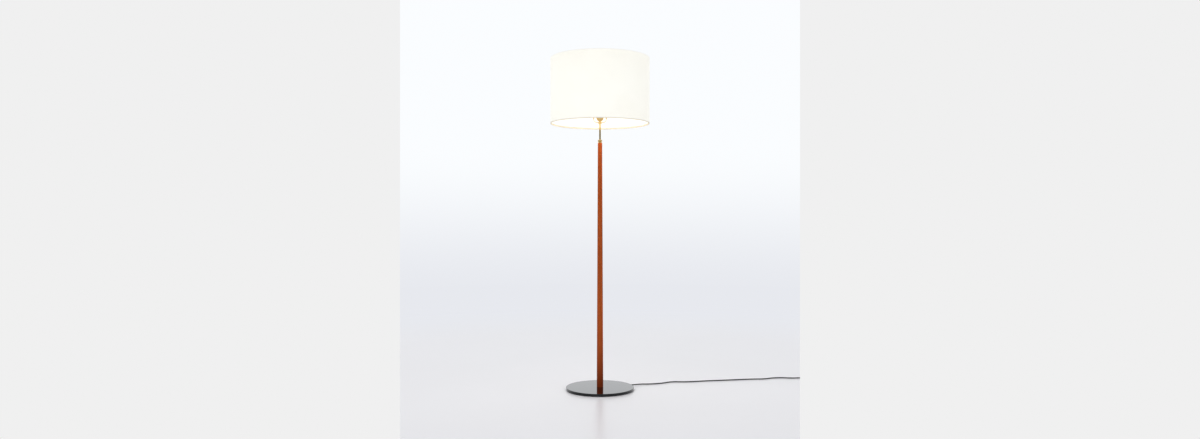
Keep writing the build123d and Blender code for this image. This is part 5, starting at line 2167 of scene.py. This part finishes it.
@dataclass(frozen=True)
class Studio:
    """Pale floor that fades into the backdrop, soft light, a dark screen that only polish shows, and
    the photograph's plain margins."""

    backdrop_low: Colour = (0.80, 0.815, 0.86)
    backdrop_high: Colour = (0.96, 0.98, 1.0)
    backdrop_span: Pair = (-0.10, 0.09)
    ambient: Colour = (0.96, 0.98, 1.0)
    ambient_strength: float = 0.50
    screen_radius: float = 1800.0
    screen_low: float = 700.0
    screen_high: float = 1900.0
    screen_sweep: float = 205.0
    screen_steps: int = 48
    screen_colour: Colour = (0.16, 0.145, 0.10)
    floor_colour: Colour = (0.755, 0.747, 0.775)
    floor_rough: float = 0.28
    floor_specular: float = 0.38
    floor_radius: float = 6000.0
    floor_level: float = -0.1
    floor_steps: int = 96
    floor_patches: float = 1.4
    floor_soft: float = 0.985
    fade: Pair = (1.6, 3.2)
    margin_colour: Colour = (0.871, 0.871, 0.871)
    margin_start: float = 5.0
    margin_width: float = 11.0
    margin_height: float = 13.0
    margin_ahead: float = 20.0
    lights: tuple[Union[SoftSun, ShadeGlow], ...] = (
        SoftSun("key_left", (-0.50, -0.48, 0.70), 0.80, 50, (1.0, 0.99, 0.97)),
        SoftSun("back_top", (-0.15, 0.62, 0.77), 0.80, 60, (0.98, 0.99, 1.0), False),
        SoftSun("fill_right", (0.62, -0.48, 0.62), 0.50, 60),
        ShadeGlow(),
    )

    def seen_rays(self, graph: Graph) -> Socket:
        """1 for rays that should see the backdrop: camera, glossy and transmission rays.

        Args:
            graph: The material's nodes.

        Returns:
            The mask.
        """
        path = graph.add("ShaderNodeLightPath").outputs
        both = graph.plus(path["Is Camera Ray"], path["Is Glossy Ray"])
        return graph.calc("MINIMUM", graph.plus(both, path["Is Transmission Ray"]), 1.0)

    def world(self) -> None:
        """Plain backdrop for what sees it, and softer light for the rest."""
        made = bpy.data.worlds.new("studio")
        bpy.context.scene.world = made
        made.use_nodes = True
        graph = Graph(made.node_tree)
        light = made.node_tree.nodes["Background"]
        light.inputs["Color"].default_value = (*self.ambient, 1.0)
        light.inputs["Strength"].default_value = self.ambient_strength
        way = graph.axes(graph.add("ShaderNodeTexCoord").outputs["Generated"])
        rise = graph.slope(way["Z"], *self.backdrop_span)
        seen = graph.add("ShaderNodeBackground")
        graph.feed(seen.inputs["Color"], graph.mix(rise, self.backdrop_low, self.backdrop_high))
        target = made.node_tree.nodes["World Output"].inputs["Surface"]
        graph.surface(self.seen_rays(graph), light.outputs[0], seen.outputs[0], target)

    def floor(self) -> None:
        """Round floor with a faint lacquer sheen, which gives way to the backdrop further off."""
        material = bpy.data.materials.new("studio_floor")
        material.use_nodes = True
        graph = Graph(material.node_tree)
        shader = material.node_tree.nodes["Principled BSDF"]
        where = graph.add("ShaderNodeTexCoord").outputs["Object"]
        spread = graph.group(Effects.mottle(), Vector=where, Scale=self.floor_patches).outputs["Value"]
        soft = tuple(part * self.floor_soft for part in self.floor_colour)
        graph.feed(shader.inputs["Base Color"], graph.mix(spread, self.floor_colour, soft))
        shader.inputs["Roughness"].default_value = self.floor_rough
        shader.inputs["Specular IOR Level"].default_value = self.floor_specular
        far = graph.slope(graph.length(where), *self.fade)
        open_wall = graph.add("ShaderNodeEmission")
        open_wall.inputs["Color"].default_value = (*self.backdrop_low, 1.0)
        gone = graph.times(far, self.seen_rays(graph))
        target = material.node_tree.nodes["Material Output"].inputs["Surface"]
        graph.surface(gone, shader.outputs[0], open_wall.outputs[0], target)
        form = Form()
        bmesh.ops.create_circle(form.mesh, cap_ends=True, radius=self.floor_radius, segments=self.floor_steps)
        form.put(moved(z=self.floor_level))
        self.stage_piece(form, "studio_floor", material)

    def even(self, name: str, colour: Colour) -> bpy.types.Material:
        """Material of one even brightness.

        Args:
            name: Name of the material.
            colour: Its brightness by channel.

        Returns:
            The material.
        """
        material = bpy.data.materials.new(name)
        material.use_nodes = True
        graph = Graph(material.node_tree)
        plain = graph.add("ShaderNodeEmission")
        plain.inputs["Color"].default_value = (*colour, 1.0)
        graph.feed(material.node_tree.nodes["Material Output"].inputs["Surface"], plain.outputs[0])
        return material

    def screen(self) -> None:
        """Dark screen round the front and sides, which shows only in polish, as a dim room would."""
        form = Form()
        form.draw([Corner(self.screen_radius, self.screen_low), Corner(self.screen_radius, self.screen_high)])
        form.put(swung(-90 - self.screen_sweep / 2))
        outline = form.mesh.verts[:] + form.mesh.edges[:]
        form.spin(outline, math.radians(self.screen_sweep), self.screen_steps)
        # Painted reflection: the screen shows only in polished surfaces, where it stands in for the
        # reflection of a dim room.
        made = self.stage_piece(form, "dark_screen", self.even("dark_screen", self.screen_colour))
        for ray in ("camera", "diffuse", "transmission", "shadow"):
            setattr(made, "visible_" + ray, False)

    def margins(self, camera: CameraView) -> None:
        """Two small cards at the lens that leave the photograph's own width clear.

        Args:
            camera: The camera that they stand before.
        """
        material = self.even("margin_card", self.margin_colour)
        for name, side in (("margin_left", -1), ("margin_right", 1)):
            form = Form()
            bmesh.ops.create_grid(form.mesh, x_segments=1, y_segments=1, size=0.5)
            bmesh.ops.scale(form.mesh, vec=(self.margin_width, self.margin_height, 1), verts=form.mesh.verts)
            across = side * (self.margin_start + self.margin_width / 2)
            place = Vector(camera.place) + Vector((across, self.margin_ahead, 0))
            form.put(moved(*place) @ swung(90, "X"))
            card = self.stage_piece(form, name, material)
            for ray in ("diffuse", "glossy", "transmission", "shadow"):
                setattr(card, "visible_" + ray, False)

    def stage_piece(self, form: Form, name: str, material: bpy.types.Material) -> bpy.types.Object:
        """Hand a form over as part of the studio.

        Args:
            form: The form, in millimetres.
            name: The object's name.
            material: Its material.

        Returns:
            The object.
        """
        form.put(Matrix.Scale(MM, 4))
        data = bpy.data.meshes.new(name)
        form.mesh.to_mesh(data)
        form.mesh.free()
        data.materials.append(material)
        made = new_object(name, data)
        return made

    def build(self, camera: CameraView) -> None:
        """Set up the studio round the lamp.

        Args:
            camera: The camera that the margins stand before.
        """
        bpy.context.scene.view_settings.view_transform = "Standard"
        self.world()
        self.floor()
        self.screen()
        self.margins(camera)
        for light in self.lights:
            light.build()


def clear_start() -> None:
    """Remove what Blender's own start-up scene holds."""
    for name in ("Cube", "Light", "Camera"):
        found = bpy.data.objects.get(name)
        if found:
            bpy.data.objects.remove(found)


def main() -> None:
    """Build the lamp and its studio round the CAD frame."""
    logging.basicConfig(level=logging.INFO, format="%(message)s")
    clear_start()
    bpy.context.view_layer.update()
    camera = CameraView()
    camera.build()
    FlexCord().build()
    for part in (RoundBase(), TeakColumn(), StemAndClamp(), HarpAndSaddle(), LampSocket(), FrostedBulb(),
                 DrumShade(), BallFinial()):
        log.info("building %s", type(part).__name__)
        part.build()
    Studio().build(camera)


if __name__ == "__main__":
    main()
